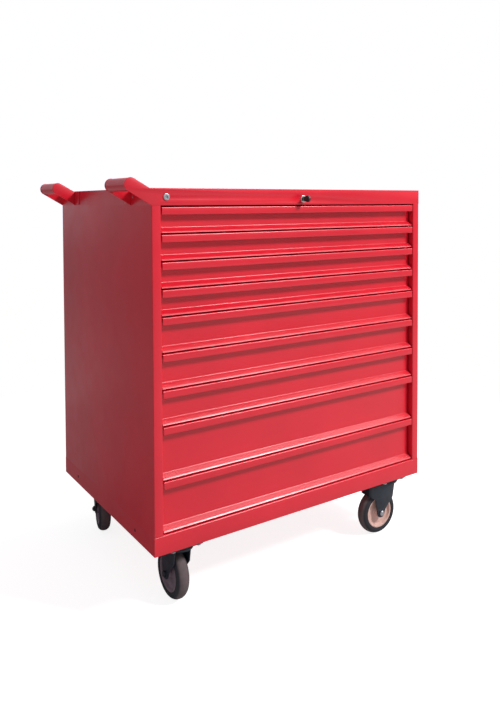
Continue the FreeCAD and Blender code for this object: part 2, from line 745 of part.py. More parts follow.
housing = fuse([rod("y", ("0", f"{FACE} - lock_face_thick", LOCK_UP), "lock_face_radius",
                    "lock_face_thick"),
                rod("y", ("0", FACE, LOCK_UP), "lock_body_radius", "lock_body_long")])
housing_bore = rod("y", ("0", f"{FACE} - 2 * lock_face_thick", LOCK_UP),
                   "barrel_radius + turn_fit", "lock_body_long + 4 * lock_face_thick")
nut = cut(hexagon("y", ("0", f"{FACE} + band_thick", LOCK_UP), "lock_nut_radius",
                  "lock_nut_thick"),
          [rod("y", ("0", FACE, LOCK_UP), "lock_body_radius", "lock_body_long")])
finish(group([cut(housing, [housing_bore]), nut]), "lock_housing")

barrel = fuse([rod("y", ("0", f"{FACE} - barrel_proud", LOCK_UP), "barrel_radius",
                   f"{CAM_END} - {FACE} + barrel_proud"),
               rod("y", ("0", CAM_START, LOCK_UP), "cam_radius", "cam_thick"),
               rod("y", ("cam_throw", CAM_START, LOCK_UP), "cam_pin_radius",
                   "cam_thick + cam_pin_long")])
keyway = box(("-key_thick / 2 - turn_fit", f"{FACE} - 2 * barrel_proud",
              f"{LOCK_UP} - key_tall / 2 - turn_fit"),
             ("key_thick / 2 + turn_fit", f"{FACE} + key_in + turn_fit",
              f"{LOCK_UP} + key_tall / 2 + turn_fit"))
finish(cut(barrel, [keyway]), "lock_barrel")

blade = box(("-key_thick / 2", f"{FACE} - key_bow_start", f"{LOCK_UP} - key_tall / 2"),
            ("key_thick / 2", f"{FACE} + key_in", f"{LOCK_UP} + key_tall / 2"))
BOW_END = f"({FACE} - key_bow_start - key_bow_long)"
BOW_MIDDLE = f"({BOW_END} + key_bow_radius)"
bow = fuse([rod("x", ("-key_bow_thick / 2", BOW_MIDDLE, LOCK_UP), "key_bow_radius",
                "key_bow_thick"),
            box(("-key_bow_thick / 2", BOW_MIDDLE, f"{LOCK_UP} - key_neck_half"),
                ("key_bow_thick / 2", f"{FACE} - key_bow_start",
                 f"{LOCK_UP} + key_neck_half"))])
ring_hole = rod("x", ("-key_bow_thick", f"{BOW_MIDDLE} - key_ring_in", LOCK_UP),
                "key_ring_radius", "2 * key_bow_thick")
finish(group([cut(bow, [ring_hole]), blade]), "key")

BAR_LOW = f"({OUTER_OUT} + catch_rise)"
BAR_HIGH = f"({BAR_LOW} + bar_thick)"
ARM_START = f"({CAM_END} + bar_clear)"
ARM_REACH = "(cam_throw + cam_pin_radius + pin_slack)"
bar = [
    box((f"-{ARM_REACH} - arm_tall / 2", ARM_START, f"{LOCK_UP} - arm_tall / 2"),
        (BAR_HIGH, f"{ARM_START} + bar_thick", f"{LOCK_UP} + arm_tall / 2")),
    box((BAR_LOW, ARM_START, f"{LOCK_UP} - arm_tall / 2"),
        (BAR_HIGH, FINGER_END, f"{LOCK_UP} + arm_tall / 2")),
    box((BAR_LOW, BAR_START, f"{drawer_floor(len(DRAWERS))} + rail_rise + rail_half"),
        (BAR_HIGH, FINGER_END, LOCK_UP)),
]
for number in range(1, len(DRAWERS) + 1):
    # Unlocked, a finger hangs clear above its catch; cam_throw lower it stands in front.
    finger_low = (f"({drawer_floor(number)} + rail_rise + rail_half + 2 * catch_rise"
                  f" + catch_tall)")
    bar.append(box((f"{OUTER_OUT} - finger_reach", BAR_START, finger_low),
                   (BAR_HIGH, FINGER_END, f"{finger_low} + finger_tall")))
slot = box(("-cam_pin_radius - pin_slack", f"{ARM_START} - cut_past",
            f"{LOCK_UP} - cam_pin_radius - pin_slack"),
           (ARM_REACH, f"{ARM_START} + bar_thick + cut_past",
            f"{LOCK_UP} + cam_pin_radius + pin_slack"))
finish(cut(fuse(bar), [slot]), "lock_bar")


# ---- casters, each modelled about its swivel axis and trailing to -X ----

PLATE_LOW = f"({UNDER} - plate_thick)"
RACE_LOW = f"({PLATE_LOW} - race_tall)"
CROWN_TOP = f"({RACE_LOW} - race_gap)"
CROWN_LOW = f"({CROWN_TOP} - fork_thick)"
TYRE_BEHIND = ("(wheel_radius + sqrt(pow(wheel_radius; 2)"
               " - pow(fork_tail - fork_thick - caster_offset; 2)))")
WEB_LOW = f"({TYRE_BEHIND} + web_clear)"


def caster_plate(side, end):
    """Bolted plate with the fixed half of the ball race and the riveted kingpin."""
    x, y = swivel_place(side, end)
    plate = box((f"{x} - plate_long / 2", f"{y} - plate_wide / 2", PLATE_LOW),
                (f"{x} + plate_long / 2", f"{y} + plate_wide / 2", UNDER))
    pin_low = f"({CROWN_LOW} - race_gap - kingpin_head_tall)"
    solid = fuse([plate, rod("z", (x, y, RACE_LOW), "race_radius", "race_tall"),
                  rod("z", (x, y, pin_low), "kingpin_radius", f"{PLATE_LOW} - {pin_low}"),
                  rod("z", (x, y, pin_low), "kingpin_head_radius", "kingpin_head_tall")])
    holes = [rod("z", (f"{x} + {left} * bolt_x", f"{y} + {near} * bolt_y",
                       f"{PLATE_LOW} - bolt_head_tall"),
                 "bolt_radius + hole_fit", "plate_thick + 2 * bolt_head_tall")
             for left in (-1, 1) for near in (-1, 1)]
    return cut(solid, holes)


def round_back(body, feature, radius):
    """Round the two upright edges at the back of a fork."""
    back = min(vertex.X for vertex in body.Shape.Vertexes)
    edges = [f"Edge{i}" for i, edge in enumerate(body.Shape.Edges, start=1)
             if edge.BoundBox.ZLength > 0.01
             and all(abs(vertex.X - back) < 0.01 for vertex in edge.Vertexes)]
    rounded = body.newObject("PartDesign::Fillet", "Bends")
    rounded.Base = (feature, edges)
    return bind(rounded, Radius=radius)


def fork():
    """Pressed fork: round crown, web at the back with wide bends, two tapering legs."""
    body = new_body("fork")
    legs = [("-fork_tail", CROWN_TOP), ("fork_nose", CROWN_TOP),
            ("fork_knee", f"{CROWN_TOP} - fork_knee_drop"),
            ("-caster_offset + fork_toe", "wheel_radius + fork_toe_rise"),
            ("-caster_offset + fork_end_radius", "wheel_radius"),
            ("-caster_offset - fork_end_radius", "wheel_radius"),
            ("-caster_offset - fork_waist", f"{CROWN_TOP} - fork_waist_drop"),
            ("-fork_tail", WEB_LOW)]
    block = pad(body, outline(sketch_on(body, "XZ_Plane"), legs), "2 * fork_half",
                symmetric=True)
    doc.recompute()
    round_back(body, block, "fork_bend")
    pad(body, circle(sketch_on(body, "XZ_Plane"), "-caster_offset", "wheel_radius",
                     "fork_end_radius"), "2 * fork_half", symmetric=True)
    pad(body, circle(sketch_on(body, "XY_Plane", CROWN_LOW), "0", "0", "fork_crown"),
        "fork_thick")
    room = [("-fork_tail + fork_thick", CROWN_LOW), ("fork_crown * 2", CROWN_LOW),
            ("fork_crown * 2", "0"), ("-fork_tail * 2", "0"), ("-fork_tail * 2", WEB_LOW),
            ("-fork_tail + fork_thick", WEB_LOW)]
    pocket(body, outline(sketch_on(body, "XZ_Plane"), room), "2 * (fork_half - fork_thick)",
           symmetric=True)
    pocket(body, circle(sketch_on(body, "XZ_Plane"), "-caster_offset", "wheel_radius",
                        "axle_radius + turn_fit"), "4 * fork_half", symmetric=True)
    pocket(body, circle(sketch_on(body, "XY_Plane", CROWN_LOW), "0", "0",
                        "kingpin_radius + turn_fit"), "4 * fork_thick", symmetric=True)
    return body


def axle():
    """Wheel axle: a through bolt with its head on one leg and its nut on the other."""
    x, z = "-caster_offset", "wheel_radius"
    return [rod("y", (x, "-fork_half", z), "axle_radius",
                "2 * fork_half + axle_hex_tall + axle_proud"),
            hexagon("y", (x, "-fork_half - axle_hex_tall", z), "axle_hex", "axle_hex_tall"),
            cut(hexagon("y", (x, "fork_half", z), "axle_hex", "axle_hex_tall"),
                [rod("y", (x, "fork_half - cut_past", z), "axle_radius", "2 * axle_hex_tall")])]


HUB_RADIUS = "(wheel_radius - tyre_thick)"


def tyre():
    """Solid rubber tyre with a crowned tread, turned about the axle."""
    body = new_body("tyre")
    half = [("wheel_half", HUB_RADIUS), ("wheel_half", "wheel_radius - shoulder_drop"),
            ("(wheel_half + tread_flat) / 2", "wheel_radius - tread_drop"),
            ("tread_flat", "wheel_radius")]
    profile = half + [(f"-({along})", out) for along, out in reversed(half)]
    sketch = outline(sketch_on(body, "YZ_Plane"), profile)
    turn = body.newObject("PartDesign::Revolution", "Turn")
    turn.Profile = sketch
    turn.ReferenceAxis = (sketch, ["H_Axis"])
    turn.Angle = 360
    return body


def hub():
    """Wheel centre: rim, dished web and a bossed bore that runs on the axle."""
    body = new_body("hub")
    half = [("boss_half", "axle_radius + turn_fit"), ("boss_half", "boss_radius"),
            ("hub_half - dish_deep", "boss_radius"),
            ("hub_half - dish_deep", f"{HUB_RADIUS} - hub_rim - dish_slope"),
            ("hub_half", f"{HUB_RADIUS} - hub_rim"), ("hub_half", HUB_RADIUS)]
    profile = half + [(f"-({along})", out) for along, out in reversed(half)]
    sketch = outline(sketch_on(body, "YZ_Plane"), profile)
    turn = body.newObject("PartDesign::Revolution", "Turn")
    turn.Profile = sketch
    turn.ReferenceAxis = (sketch, ["H_Axis"])
    turn.Angle = 360
    return body


PEDAL_X = "(-fork_tail - pedal_pin_in)"
PEDAL_Z = f"({CROWN_TOP} - pedal_pin_drop)"


def brake_pedal():
    """Brake lever on a cross pin behind the fork; its shoe swings in against the tread."""
    eye = rod("y", (PEDAL_X, "-pedal_wide / 2", PEDAL_Z), "pedal_eye_radius", "pedal_wide")
    tread = box((f"{PEDAL_X} - pedal_long", "-pedal_wide / 2", f"{PEDAL_Z} - pedal_thick / 2"),
                (PEDAL_X, "pedal_wide / 2", f"{PEDAL_Z} + pedal_thick / 2"))
    shoe = box((f"{PEDAL_X} - pedal_thick / 2", "-shoe_wide / 2", f"{PEDAL_Z} - shoe_drop"),
               (f"{PEDAL_X} + pedal_thick / 2", "shoe_wide / 2", PEDAL_Z))
    bore = rod("y", (PEDAL_X, "-pedal_wide", PEDAL_Z), "pedal_pin_radius + turn_fit",
               "2 * pedal_wide")
    return cut(fuse([eye, tread, shoe]), [bore])


def pedal_bracket():
    """Two ears on the back of the fork and the pin that the brake lever turns on."""
    ears = []
    for near in (-1, 1):
        inside = f"{near} * (pedal_wide / 2 + pedal_gap)"
        outside = f"{near} * fork_half"
        low, high = (outside, inside) if near < 0 else (inside, outside)
        ears.append(box((f"{PEDAL_X} - pedal_pin_radius", low, f"{PEDAL_Z} - pedal_eye_radius"),
                        ("-fork_tail + fork_bend", high, f"{PEDAL_Z} + pedal_eye_radius")))
    pin = rod("y", (PEDAL_X, "-fork_half", PEDAL_Z), "pedal_pin_radius", "2 * fork_half")
    return ears + [pin]


finish(group([caster_plate(side, end) for side, end, _ in CASTERS.values()]), "caster_plates")

for corner, (side, end, turned) in CASTERS.items():
    x, y = swivel_place(side, end)
    where = dict(across=x, along=y, turned=turned)
    frame = fork()
    if corner in BRAKED:
        frame = fuse([frame] + pedal_bracket())
        finish(group([brake_pedal()]), f"{corner}_brake_pedal", **where)
    finish(group([frame] + axle()), f"{corner}_fork", **where)
    for piece, made in (("tyre", tyre()), ("hub", hub())):
        wheel = group([made])
        move(made, "-caster_offset", "0", "wheel_radius")
        finish(wheel, f"{corner}_{piece}", **where)


# ---- check and write ----

doc.recompute()
for item in doc.Objects:
    if {"Invalid", "Error"} & set(item.State):
        raise ValueError(f"{item.Label} failed: {item.State}")
for item in sub_parts:
    if item.Shape.isNull() or not item.Shape.isValid():
        raise ValueError(f"{item.Label} has no valid shape")

os.makedirs("parts", exist_ok=True)
for item in sub_parts:
    item.Shape.exportStep(f"parts/{item.Label}.step")
print(f"{len(sub_parts)} sub-parts written")
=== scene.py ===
import json

import bpy
import numpy as np
from mathutils import Matrix, Vector
from mathutils.geometry import tessellate_polygon

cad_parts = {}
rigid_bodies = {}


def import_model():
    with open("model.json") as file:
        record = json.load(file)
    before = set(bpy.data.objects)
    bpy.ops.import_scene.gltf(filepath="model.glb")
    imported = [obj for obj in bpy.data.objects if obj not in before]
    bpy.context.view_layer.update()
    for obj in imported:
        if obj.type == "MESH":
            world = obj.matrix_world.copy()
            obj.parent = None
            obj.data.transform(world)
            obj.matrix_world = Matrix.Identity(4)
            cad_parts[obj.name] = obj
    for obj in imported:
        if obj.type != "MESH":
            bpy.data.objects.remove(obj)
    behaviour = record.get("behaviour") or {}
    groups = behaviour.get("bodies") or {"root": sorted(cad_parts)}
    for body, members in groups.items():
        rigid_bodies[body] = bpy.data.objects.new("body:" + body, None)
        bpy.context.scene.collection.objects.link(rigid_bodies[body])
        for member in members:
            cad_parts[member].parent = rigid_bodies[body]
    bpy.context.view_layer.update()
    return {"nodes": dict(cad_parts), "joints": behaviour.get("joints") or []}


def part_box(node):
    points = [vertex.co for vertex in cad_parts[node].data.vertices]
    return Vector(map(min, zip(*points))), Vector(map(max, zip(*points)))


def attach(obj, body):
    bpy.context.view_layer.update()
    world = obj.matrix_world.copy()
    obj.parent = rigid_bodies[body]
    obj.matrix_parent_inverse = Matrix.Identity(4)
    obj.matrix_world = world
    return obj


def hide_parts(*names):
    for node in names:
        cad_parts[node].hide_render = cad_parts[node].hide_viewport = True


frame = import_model()
MM = 0.001


# ---- side panels ----
# Each side is one sheet of 1.5 mm steel, folded into a front post with a hem and a rear
# flange, and powder coated. The bands and the plinth are welded over its ends.

def rounded(corners, radius, steps=5):
    """A closed outline with its corners turned into arcs.

    With a the half angle between the two sides at a corner, an arc of the given radius
    starts radius / tan(a) along each side, and its points are the directions between the
    two tangent points, seen from the arc's centre, turned evenly from one to the other.
    """
    corners = np.asarray(corners, float)
    radius = np.broadcast_to(np.asarray(radius, float), len(corners))
    back, on = np.roll(corners, 1, 0) - corners, np.roll(corners, -1, 0) - corners
    room = 0.49 * np.minimum(np.linalg.norm(back, axis=1), np.linalg.norm(on, axis=1))
    back /= np.linalg.norm(back, axis=1, keepdims=True)
    on /= np.linalg.norm(on, axis=1, keepdims=True)
    half = 0.5 * np.arccos(np.clip((back * on).sum(1), -1, 1))
    reach = np.minimum(radius / np.tan(half), room)
    middle = (back + on) / np.linalg.norm(back + on, axis=1, keepdims=True)
    centre = corners + middle * (reach / np.cos(half))[:, None]
    first, last = corners + back * reach[:, None] - centre, corners + on * reach[:, None] - centre
    turn = np.maximum(np.pi - 2 * half, 1e-6)[:, None]
    t = np.linspace(0, 1, steps)[None, :]
    a, b = np.sin((1 - t) * turn) / np.sin(turn), np.sin(t * turn) / np.sin(turn)
    points = centre[:, None] + first[:, None] * a[..., None] + last[:, None] * b[..., None]
    points = points.reshape(-1, 2)
    apart = np.linalg.norm(points - np.roll(points, 1, 0), axis=1) > 1e-7
    return points[apart]


def solid(name, parts):
    """One closed mesh object from (points, faces) parts, each turned to face outwards.

    A part's volume is the sum over its faces' fans of the triple product a . (b x c) / 6;
    where that comes out negative the faces run the wrong way round and are reversed.
    """
    points, faces, start = [], [], 0
    for spots, rings in parts:
        spots = np.asarray(spots, float)
        volume = sum(np.einsum("i,ji->", spots[f[0]], np.cross(spots[list(f[1:-1])],
                                                              spots[list(f[2:])]))
                     for f in rings)
        points.append(spots)
        faces += [[start + i for i in (f if volume > 0 else f[::-1])] for f in rings]
        start += len(spots)
    mesh = bpy.data.meshes.new(name)
    mesh.from_pydata(np.concatenate(points).tolist(), [], faces)
    piece = bpy.data.objects.new(name, mesh)
    bpy.context.scene.collection.objects.link(piece)
    return piece


def skin(rings, caps=True, closed=False):
    """Points and faces of stacked closed rings: point (i, j) is point j of ring i.

    A closed skin joins its last ring to its first one and has no caps.
    """
    rings = np.asarray(rings, float)
    count, around = rings.shape[:2]
    i, j = np.arange(count if closed else count - 1)[:, None], np.arange(around)
    on, turn = (i + 1) % count * around, (j + 1) % around
    faces = np.stack([(i * around + j).ravel(), (i * around + turn).ravel(),
                      (on + turn).ravel(), (on + j).ravel()], 1).tolist()
    if caps and not closed:
        faces += [j[::-1].tolist(), ((count - 1) * around + j).tolist()]
    return rings.reshape(-1, 3), faces


AXES = {"x": (1, 2, 0), "y": (0, 2, 1), "z": (0, 1, 2)}


def place(flat, axis, along):
    """Points of a flat outline set at a distance along x, y or z."""
    flat = np.asarray(flat, float)
    spots = np.empty((len(flat), 3))
    spots[:, AXES[axis][0]], spots[:, AXES[axis][1]] = flat[:, 0], flat[:, 1]
    spots[:, AXES[axis][2]] = along
    return spots


def drawn(outline, axis, start, end):
    """A closed outline carried straight from start to end along an axis."""
    return skin([place(outline, axis, start), place(outline, axis, end)])


def linear(colour):
    """An sRGB hex colour as linear light: x / 12.92 low down, else ((x + 0.055) / 1.055) ^ 2.4."""
    x = np.array([int(colour[i:i + 2], 16) for i in (0, 2, 4)]) / 255
    return (*np.where(x <= 0.04045, x / 12.92, ((x + 0.055) / 1.055) ** 2.4), 1)


def add(tree, kind, settings=(), links=()):
    """Add one shader node, with its properties or sockets set and its inputs linked."""
    node = tree.nodes.new("ShaderNode" + kind)
    for name, value in dict(settings).items():
        if name in node.inputs:
            node.inputs[name].default_value = value
        else:
            setattr(node, name, value)
    for name, source in dict(links).items():
        tree.links.new(source, node.inputs[name])
    return node


def surface(name, **settings):
    """A material with one shader, and the object-space coordinates that patterns start from."""
    material = bpy.data.materials.new(name)
    material.use_nodes = True
    tree = material.node_tree
    shader = tree.nodes["Principled BSDF"]
    for socket, value in settings.items():
        shader.inputs[socket].default_value = value
    return material, tree, shader, add(tree, "TexCoord").outputs["Object"]


def mottle(tree, place_of, size, low, high, detail=3):
    """A soft noise with patches of the given size in metres, spread from low to high."""
    noise = add(tree, "TexNoise", {"Scale": 1 / size, "Detail": detail}, {"Vector": place_of})
    return add(tree, "MapRange", {"From Min": 0.3, "From Max": 0.7, "To Min": low, "To Max": high},
               {"Value": noise.outputs["Fac"]}).outputs["Result"]


def two_tone(tree, shader, place_of, size, one, other):
    """Colour a surface in soft patches of two close tones, given as sRGB hex."""
    tone = add(tree, "Mix", {"data_type": "RGBA"}, {"Factor": mottle(tree, place_of, size, 0, 1)})
    a, b = (socket for socket in tone.inputs if socket.type == "RGBA")
    a.default_value, b.default_value = linear(one), linear(other)
    result = next(socket for socket in tone.outputs if socket.type == "RGBA")
    tree.links.new(result, shader.inputs["Base Color"])


def grain(tree, shader, place_of, size, deep, strength):
    """Raise the surface by a noise with the given spacing and height in metres."""
    noise = add(tree, "TexNoise", {"Scale": 1 / size, "Detail": 2}, {"Vector": place_of})
    bump = add(tree, "Bump", {"Strength": strength, "Distance": deep},
               {"Height": noise.outputs["Fac"]})
    tree.links.new(bump.outputs["Normal"], shader.inputs["Normal"])


# Polyester powder coat, sprayed dry and baked: a deep even red with a soft gloss and the
# slight orange peel of the melted powder. Its bumps are about 1 mm apart and are drawn at 3.
powder_coat, tree, shader, spot = surface("powder_coat_red", **{"Specular IOR Level": 0.7})
two_tone(tree, shader, spot, 0.22, "E5162E", "DA122A")
tree.links.new(mottle(tree, spot, 0.06, 0.28, 0.35), shader.inputs["Roughness"])
grain(tree, shader, spot, 3 * MM, 0.05 * MM, 0.25)


def coat(piece, material):
    """Give a piece its only material."""
    piece.data.materials.clear()
    piece.data.materials.append(material)
    return piece


def shade(piece, angle=30):
    """Smooth faces, with edges sharper than the angle kept."""
    piece.data.polygons.foreach_set("use_smooth", [True] * len(piece.data.polygons))
    piece.data.set_sharp_from_angle(angle=np.radians(angle))
    return piece


SKIN, BEND, INNER_BEND = 1.5 * MM, 2.2 * MM, 0.7 * MM
POST, POST_DEEP, HEM, REAR_FLANGE = 27 * MM, 30 * MM, 12 * MM, 20 * MM
BAND_SHEET = 2 * MM
band_low, band_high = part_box("back_panel")[1].z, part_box("left_side_panel")[1].z
floor_gap, plinth_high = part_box("base_pan")[0].z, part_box("base_pan")[1].z
front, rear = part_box("left_side_panel")[0].y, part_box("left_side_panel")[1].y
for name, side in (("left_side_panel", -1), ("right_side_panel", 1)):
    low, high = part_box(name)
    out = low.x if side < 0 else high.x
    folds = [(0, front), (POST, front), (POST, front + POST_DEEP),
             (POST - HEM, front + POST_DEEP), (POST - HEM, front + POST_DEEP - SKIN),
             (POST - SKIN, front + POST_DEEP - SKIN), (POST - SKIN, front + SKIN),
             (SKIN, front + SKIN), (SKIN, rear - SKIN), (REAR_FLANGE, rear - SKIN),
             (REAR_FLANGE, rear), (0, rear)]
    radii = [BEND, BEND, BEND, 0, 0, INNER_BEND, INNER_BEND, INNER_BEND, INNER_BEND, 0, 0, BEND]
    outline = rounded([(out - side * x, y) for x, y in folds], radii)
    flat = [(out - side * x, y) for x, y in ((0, front + BAND_SHEET), (SKIN, front + BAND_SHEET),
                                             (SKIN, rear - BAND_SHEET), (0, rear - BAND_SHEET))]
    panel = solid(name.replace("panel", "sheet"),
                  [drawn(outline, "z", plinth_high, band_low),
                   drawn(flat, "z", floor_gap, plinth_high),
                   drawn(flat, "z", band_low, band_high)])
    coat(shade(panel), powder_coat)
    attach(panel, "cabinet")
    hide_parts(name)


# ---- back panel and inner posts ----
# The back is a plain sheet, spot welded inside the rear flanges. The inner posts and the
# fixed runner members are zinc-plated, and are hooked in behind the side panels.

coat(frame["nodes"]["back_panel"], powder_coat)

# Bright zinc plate, from an acid bath: a pale grey metal with a faint blue cast and soft
# clouds where the plating took unevenly.
zinc, tree, shader, spot = surface("bright_zinc_plate", Metallic=1)
two_tone(tree, shader, spot, 0.03, "C4C8CC", "9EA2A8")
tree.links.new(mottle(tree, spot, 0.012, 0.28, 0.42), shader.inputs["Roughness"])
grain(tree, shader, spot, 0.8 * MM, 0.02 * MM, 0.2)
for name in ("runner_racks", "lock_bar"):
    coat(frame["nodes"][name], zinc)


# ---- plinth and floor of the cabinet ----
# A tray of 2 mm steel: the floor, and a face 50 mm tall in front and behind whose top edge
# is folded back inwards. It takes the caster plates and is coated with the rest.

PLINTH_SHEET, PLINTH_RETURN, PLINTH_BEND = 2 * MM, 24 * MM, 3.4 * MM
low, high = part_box("base_pan")
faces = []
for outer, inwards in ((low.y, 1), (high.y, -1)):
    hook = [(outer, low.z), (outer, high.z), (outer + inwards * PLINTH_RETURN, high.z),
            (outer + inwards * PLINTH_RETURN, high.z - PLINTH_SHEET),
            (outer + inwards * PLINTH_SHEET, high.z - PLINTH_SHEET),
            (outer + inwards * PLINTH_SHEET, low.z)]
    faces.append(drawn(rounded(hook, [0.6 * MM, PLINTH_BEND, 0, 0, 1.4 * MM, 0]), "x",
                       low.x + SKIN, high.x - SKIN))
    for x in ((low.x, low.x + SKIN), (high.x - SKIN, high.x)):
        upright = [(outer, low.z), (outer, high.z), (outer + inwards * PLINTH_SHEET, high.z),
                   (outer + inwards * PLINTH_SHEET, low.z)]
        faces.append(drawn(upright, "x", *x))
deck = [(low.x + SKIN, low.z), (high.x - SKIN, low.z), (high.x - SKIN, low.z + PLINTH_SHEET),
        (low.x + SKIN, low.z + PLINTH_SHEET)]
faces.append(drawn(deck, "y", low.y + PLINTH_SHEET, high.y - PLINTH_SHEET))
plinth = coat(shade(solid("plinth_tray", faces)), powder_coat)
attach(plinth, "cabinet")
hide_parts("base_pan")


# ---- top bands with the push handle arms ----
# Each band is cut from 2 mm plate in one piece with the outer cheek of a push handle. Its
# lower edge is folded back; the cheek runs up and out, and ends in a half circle.

def ring(centre, radius, count=32, start=0.0):
    """A circle as points: centre + radius (cos a, sin a), a going once round."""
    a = start + np.linspace(0, 2 * np.pi, count, endpoint=False)
    return np.array(centre) + radius * np.stack([np.cos(a), np.sin(a)], 1)


def inset(outline, by):
    """A closed outline drawn inwards along the bisector of its normals at each point."""
    outline = np.asarray(outline, float)
    x, y = outline.T
    way = np.sign((x * np.roll(y, -1) - np.roll(x, -1) * y).sum())
    on = np.roll(outline, -1, 0) - outline
    on /= np.linalg.norm(on, axis=1, keepdims=True)
    normal = np.stack([-on[:, 1], on[:, 0]], 1) * way
    both = normal + np.roll(normal, 1, 0)
    both /= np.maximum((both * normal).sum(1, keepdims=True), 0.5)
    return outline + by * both


def plate(outline, axis, start, end, roll, holes=(), steps=3):
    """A flat plate with rolled edges and round-edged holes.

    The edge is a quarter circle at each face: at angle a the outline is drawn in by
    roll (1 - sin a) at a depth of roll (1 - cos a), and holes grow by the same amount.
    """
    a = np.linspace(0, np.pi / 2, steps)
    depth = np.concatenate([roll * (1 - np.cos(a)), (end - start) - roll * (1 - np.cos(a))[::-1]])
    drawn_in = np.concatenate([roll * (1 - np.sin(a)), (roll * (1 - np.sin(a)))[::-1]])
    outline = np.asarray(outline, float)
    x, y = outline.T
    outline = outline[::1 if (x * np.roll(y, -1) - np.roll(x, -1) * y).sum() > 0 else -1]
    spots, faces, loops, count = [], [], [], 0
    for loop, way in ((outline, 1), *((hole, -1) for hole in holes)):
        loop = np.asarray(loop, float)
        rings = [place(inset(loop, way * i), axis, start + d) for i, d in zip(drawn_in, depth)]
        points, quads = skin(rings, caps=False)
        faces += [[count + i for i in (q if way > 0 else q[::-1])] for q in quads]
        loops.append((inset(loop, way * drawn_in[0]), count, len(loop)))
        spots.append(points)
        count += len(points)
    flat = tessellate_polygon([[Vector((*p, 0)) for p in loop] for loop, _, _ in loops])
    first = np.concatenate([base + np.arange(n) for _, base, n in loops])
    last = np.concatenate([base + (len(depth) - 1) * n + np.arange(n) for _, base, n in loops])
    level = np.concatenate([loop for loop, _, _ in loops])
    for corners in flat:
        start = level[corners[0]]
        (ax, ay), (bx, by) = level[corners[1]] - start, level[corners[2]] - start
        corners = list(corners) if ax * by > ay * bx else list(corners)[::-1]
        faces += [[int(first[i]) for i in corners[::-1]], [int(last[i]) for i in corners]]
    return np.concatenate(spots), faces


BAND_EDGE, BAND_RETURN, SCREW_HOLE, LOCK_HOLE = 0.6 * MM, 20 * MM, 5.2 * MM, 9.1 * MM
ARM_HALF, ARM_ANGLE, GRIP_REACH = 19 * MM, np.radians(30), 58.5 * MM
left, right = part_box("back_panel")[0].x - SKIN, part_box("back_panel")[1].x + SKIN
grip_x = left - GRIP_REACH
grip_z = band_low + ((GRIP_REACH + ARM_HALF * np.sin(ARM_ANGLE)) * np.tan(ARM_ANGLE)
                     + ARM_HALF * np.cos(ARM_ANGLE))
bend_x = (left + 2 * ARM_HALF * np.sin(ARM_ANGLE)
          - (band_high - band_low - 2 * ARM_HALF * np.cos(ARM_ANGLE)) / np.tan(ARM_ANGLE))
# The half circle at the end of an arm, from its upper edge round to its lower one.
a = np.pi / 2 - ARM_ANGLE + np.linspace(0, np.pi, 17)
arm_end = np.stack([grip_x + ARM_HALF * np.cos(a), grip_z + ARM_HALF * np.sin(a)], 1)
screw_x = 0.5 * (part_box("band_screws")[0].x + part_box("band_screws")[1].x)
screw_z = 0.5 * (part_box("band_screws")[0].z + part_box("band_screws")[1].z)
lock_z = 0.5 * (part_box("lock_barrel")[0].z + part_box("lock_barrel")[1].z)
lock_x = 0.5 * (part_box("lock_barrel")[0].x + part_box("lock_barrel")[1].x)
outline = np.concatenate([[(left, band_low), (right, band_low), (right, band_high),
                           (bend_x, band_high)], arm_end])
for name, outer, inwards in (("front_band", front, 1), ("rear_band", rear, -1)):
    holes = [ring((screw_x, screw_z), SCREW_HOLE)]
    if inwards > 0:
        holes.append(ring((lock_x, lock_z), LOCK_HOLE))
    near, far = sorted((outer, outer + inwards * BAND_SHEET))
    fold = [(outer + inwards * BAND_SHEET, band_low), (outer + inwards * BAND_RETURN, band_low),
            (outer + inwards * BAND_RETURN, band_low + BAND_SHEET),
            (outer + inwards * BAND_SHEET, band_low + BAND_SHEET)]
    band = solid(name.replace("band", "band_plate"),
                 [plate(outline, "y", near, far, BAND_EDGE, holes),
                  drawn(fold, "x", left + SKIN, right - SKIN)])
    coat(shade(band), powder_coat)
    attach(band, "cabinet")
    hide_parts(name)


# ---- inner cheeks and grips of the push handles ----
# The inner cheek is 3 mm plate with a flange screwed to the side panel. The grip is a
# 36 mm tube welded between the cheeks, and all of it is coated red.

CHEEK, FLANGE_WIDE, FLANGE_TRIM = 3 * MM, 40 * MM, 3 * MM
GRIP, GRIP_WALL, GRIP_LONG = 18 * MM, 2 * MM, 132 * MM
grip_low, grip_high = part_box("handle_grips")
cheek_outline = np.concatenate([[(left, band_low), (left, band_high), (bend_x, band_high)],
                                arm_end])
cheeks, grips = [], []
for start, end, flange in ((grip_low.y, grip_low.y + GRIP_LONG, 1),
                           (grip_high.y - GRIP_LONG, grip_high.y, -1)):
    cheek = end if flange > 0 else start
    cheeks.append(plate(cheek_outline, "y", cheek - CHEEK / 2, cheek + CHEEK / 2, BAND_EDGE))
    near, far = sorted((cheek + flange * CHEEK / 2, cheek + flange * FLANGE_WIDE))
    leaf = rounded([(near, band_low + FLANGE_TRIM), (far, band_low + FLANGE_TRIM),
                    (far, band_high - FLANGE_TRIM), (near, band_high - FLANGE_TRIM)], 2 * MM)
    cheeks.append(plate(leaf, "x", left - CHEEK, left, BAND_EDGE))
    a = np.linspace(0, 2 * np.pi, 48, endpoint=False)
    around = np.stack([np.cos(a), np.sin(a)], 1)
    bore = GRIP - GRIP_WALL
    walls = [place(np.array((grip_x, grip_z)) + r * around, "y", y)
             for r, y in ((bore, start), (GRIP, start), (GRIP, end), (bore, end), (bore, start))]
    grips.append(skin(walls, caps=False))
for name, parts, node in (("handle_cheeks", cheeks, "handle_brackets"),
                          ("handle_tubes", grips, "handle_grips")):
    piece = coat(shade(solid(name, parts)), powder_coat)
    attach(piece, "cabinet")
    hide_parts(node)


# ---- shallow top and its mat ----
# The top is a shallow tray let in between the bands. A 3 mm mat of ribbed rubber lies
# loose in it.

coat(frame["nodes"]["top_tray"], powder_coat)

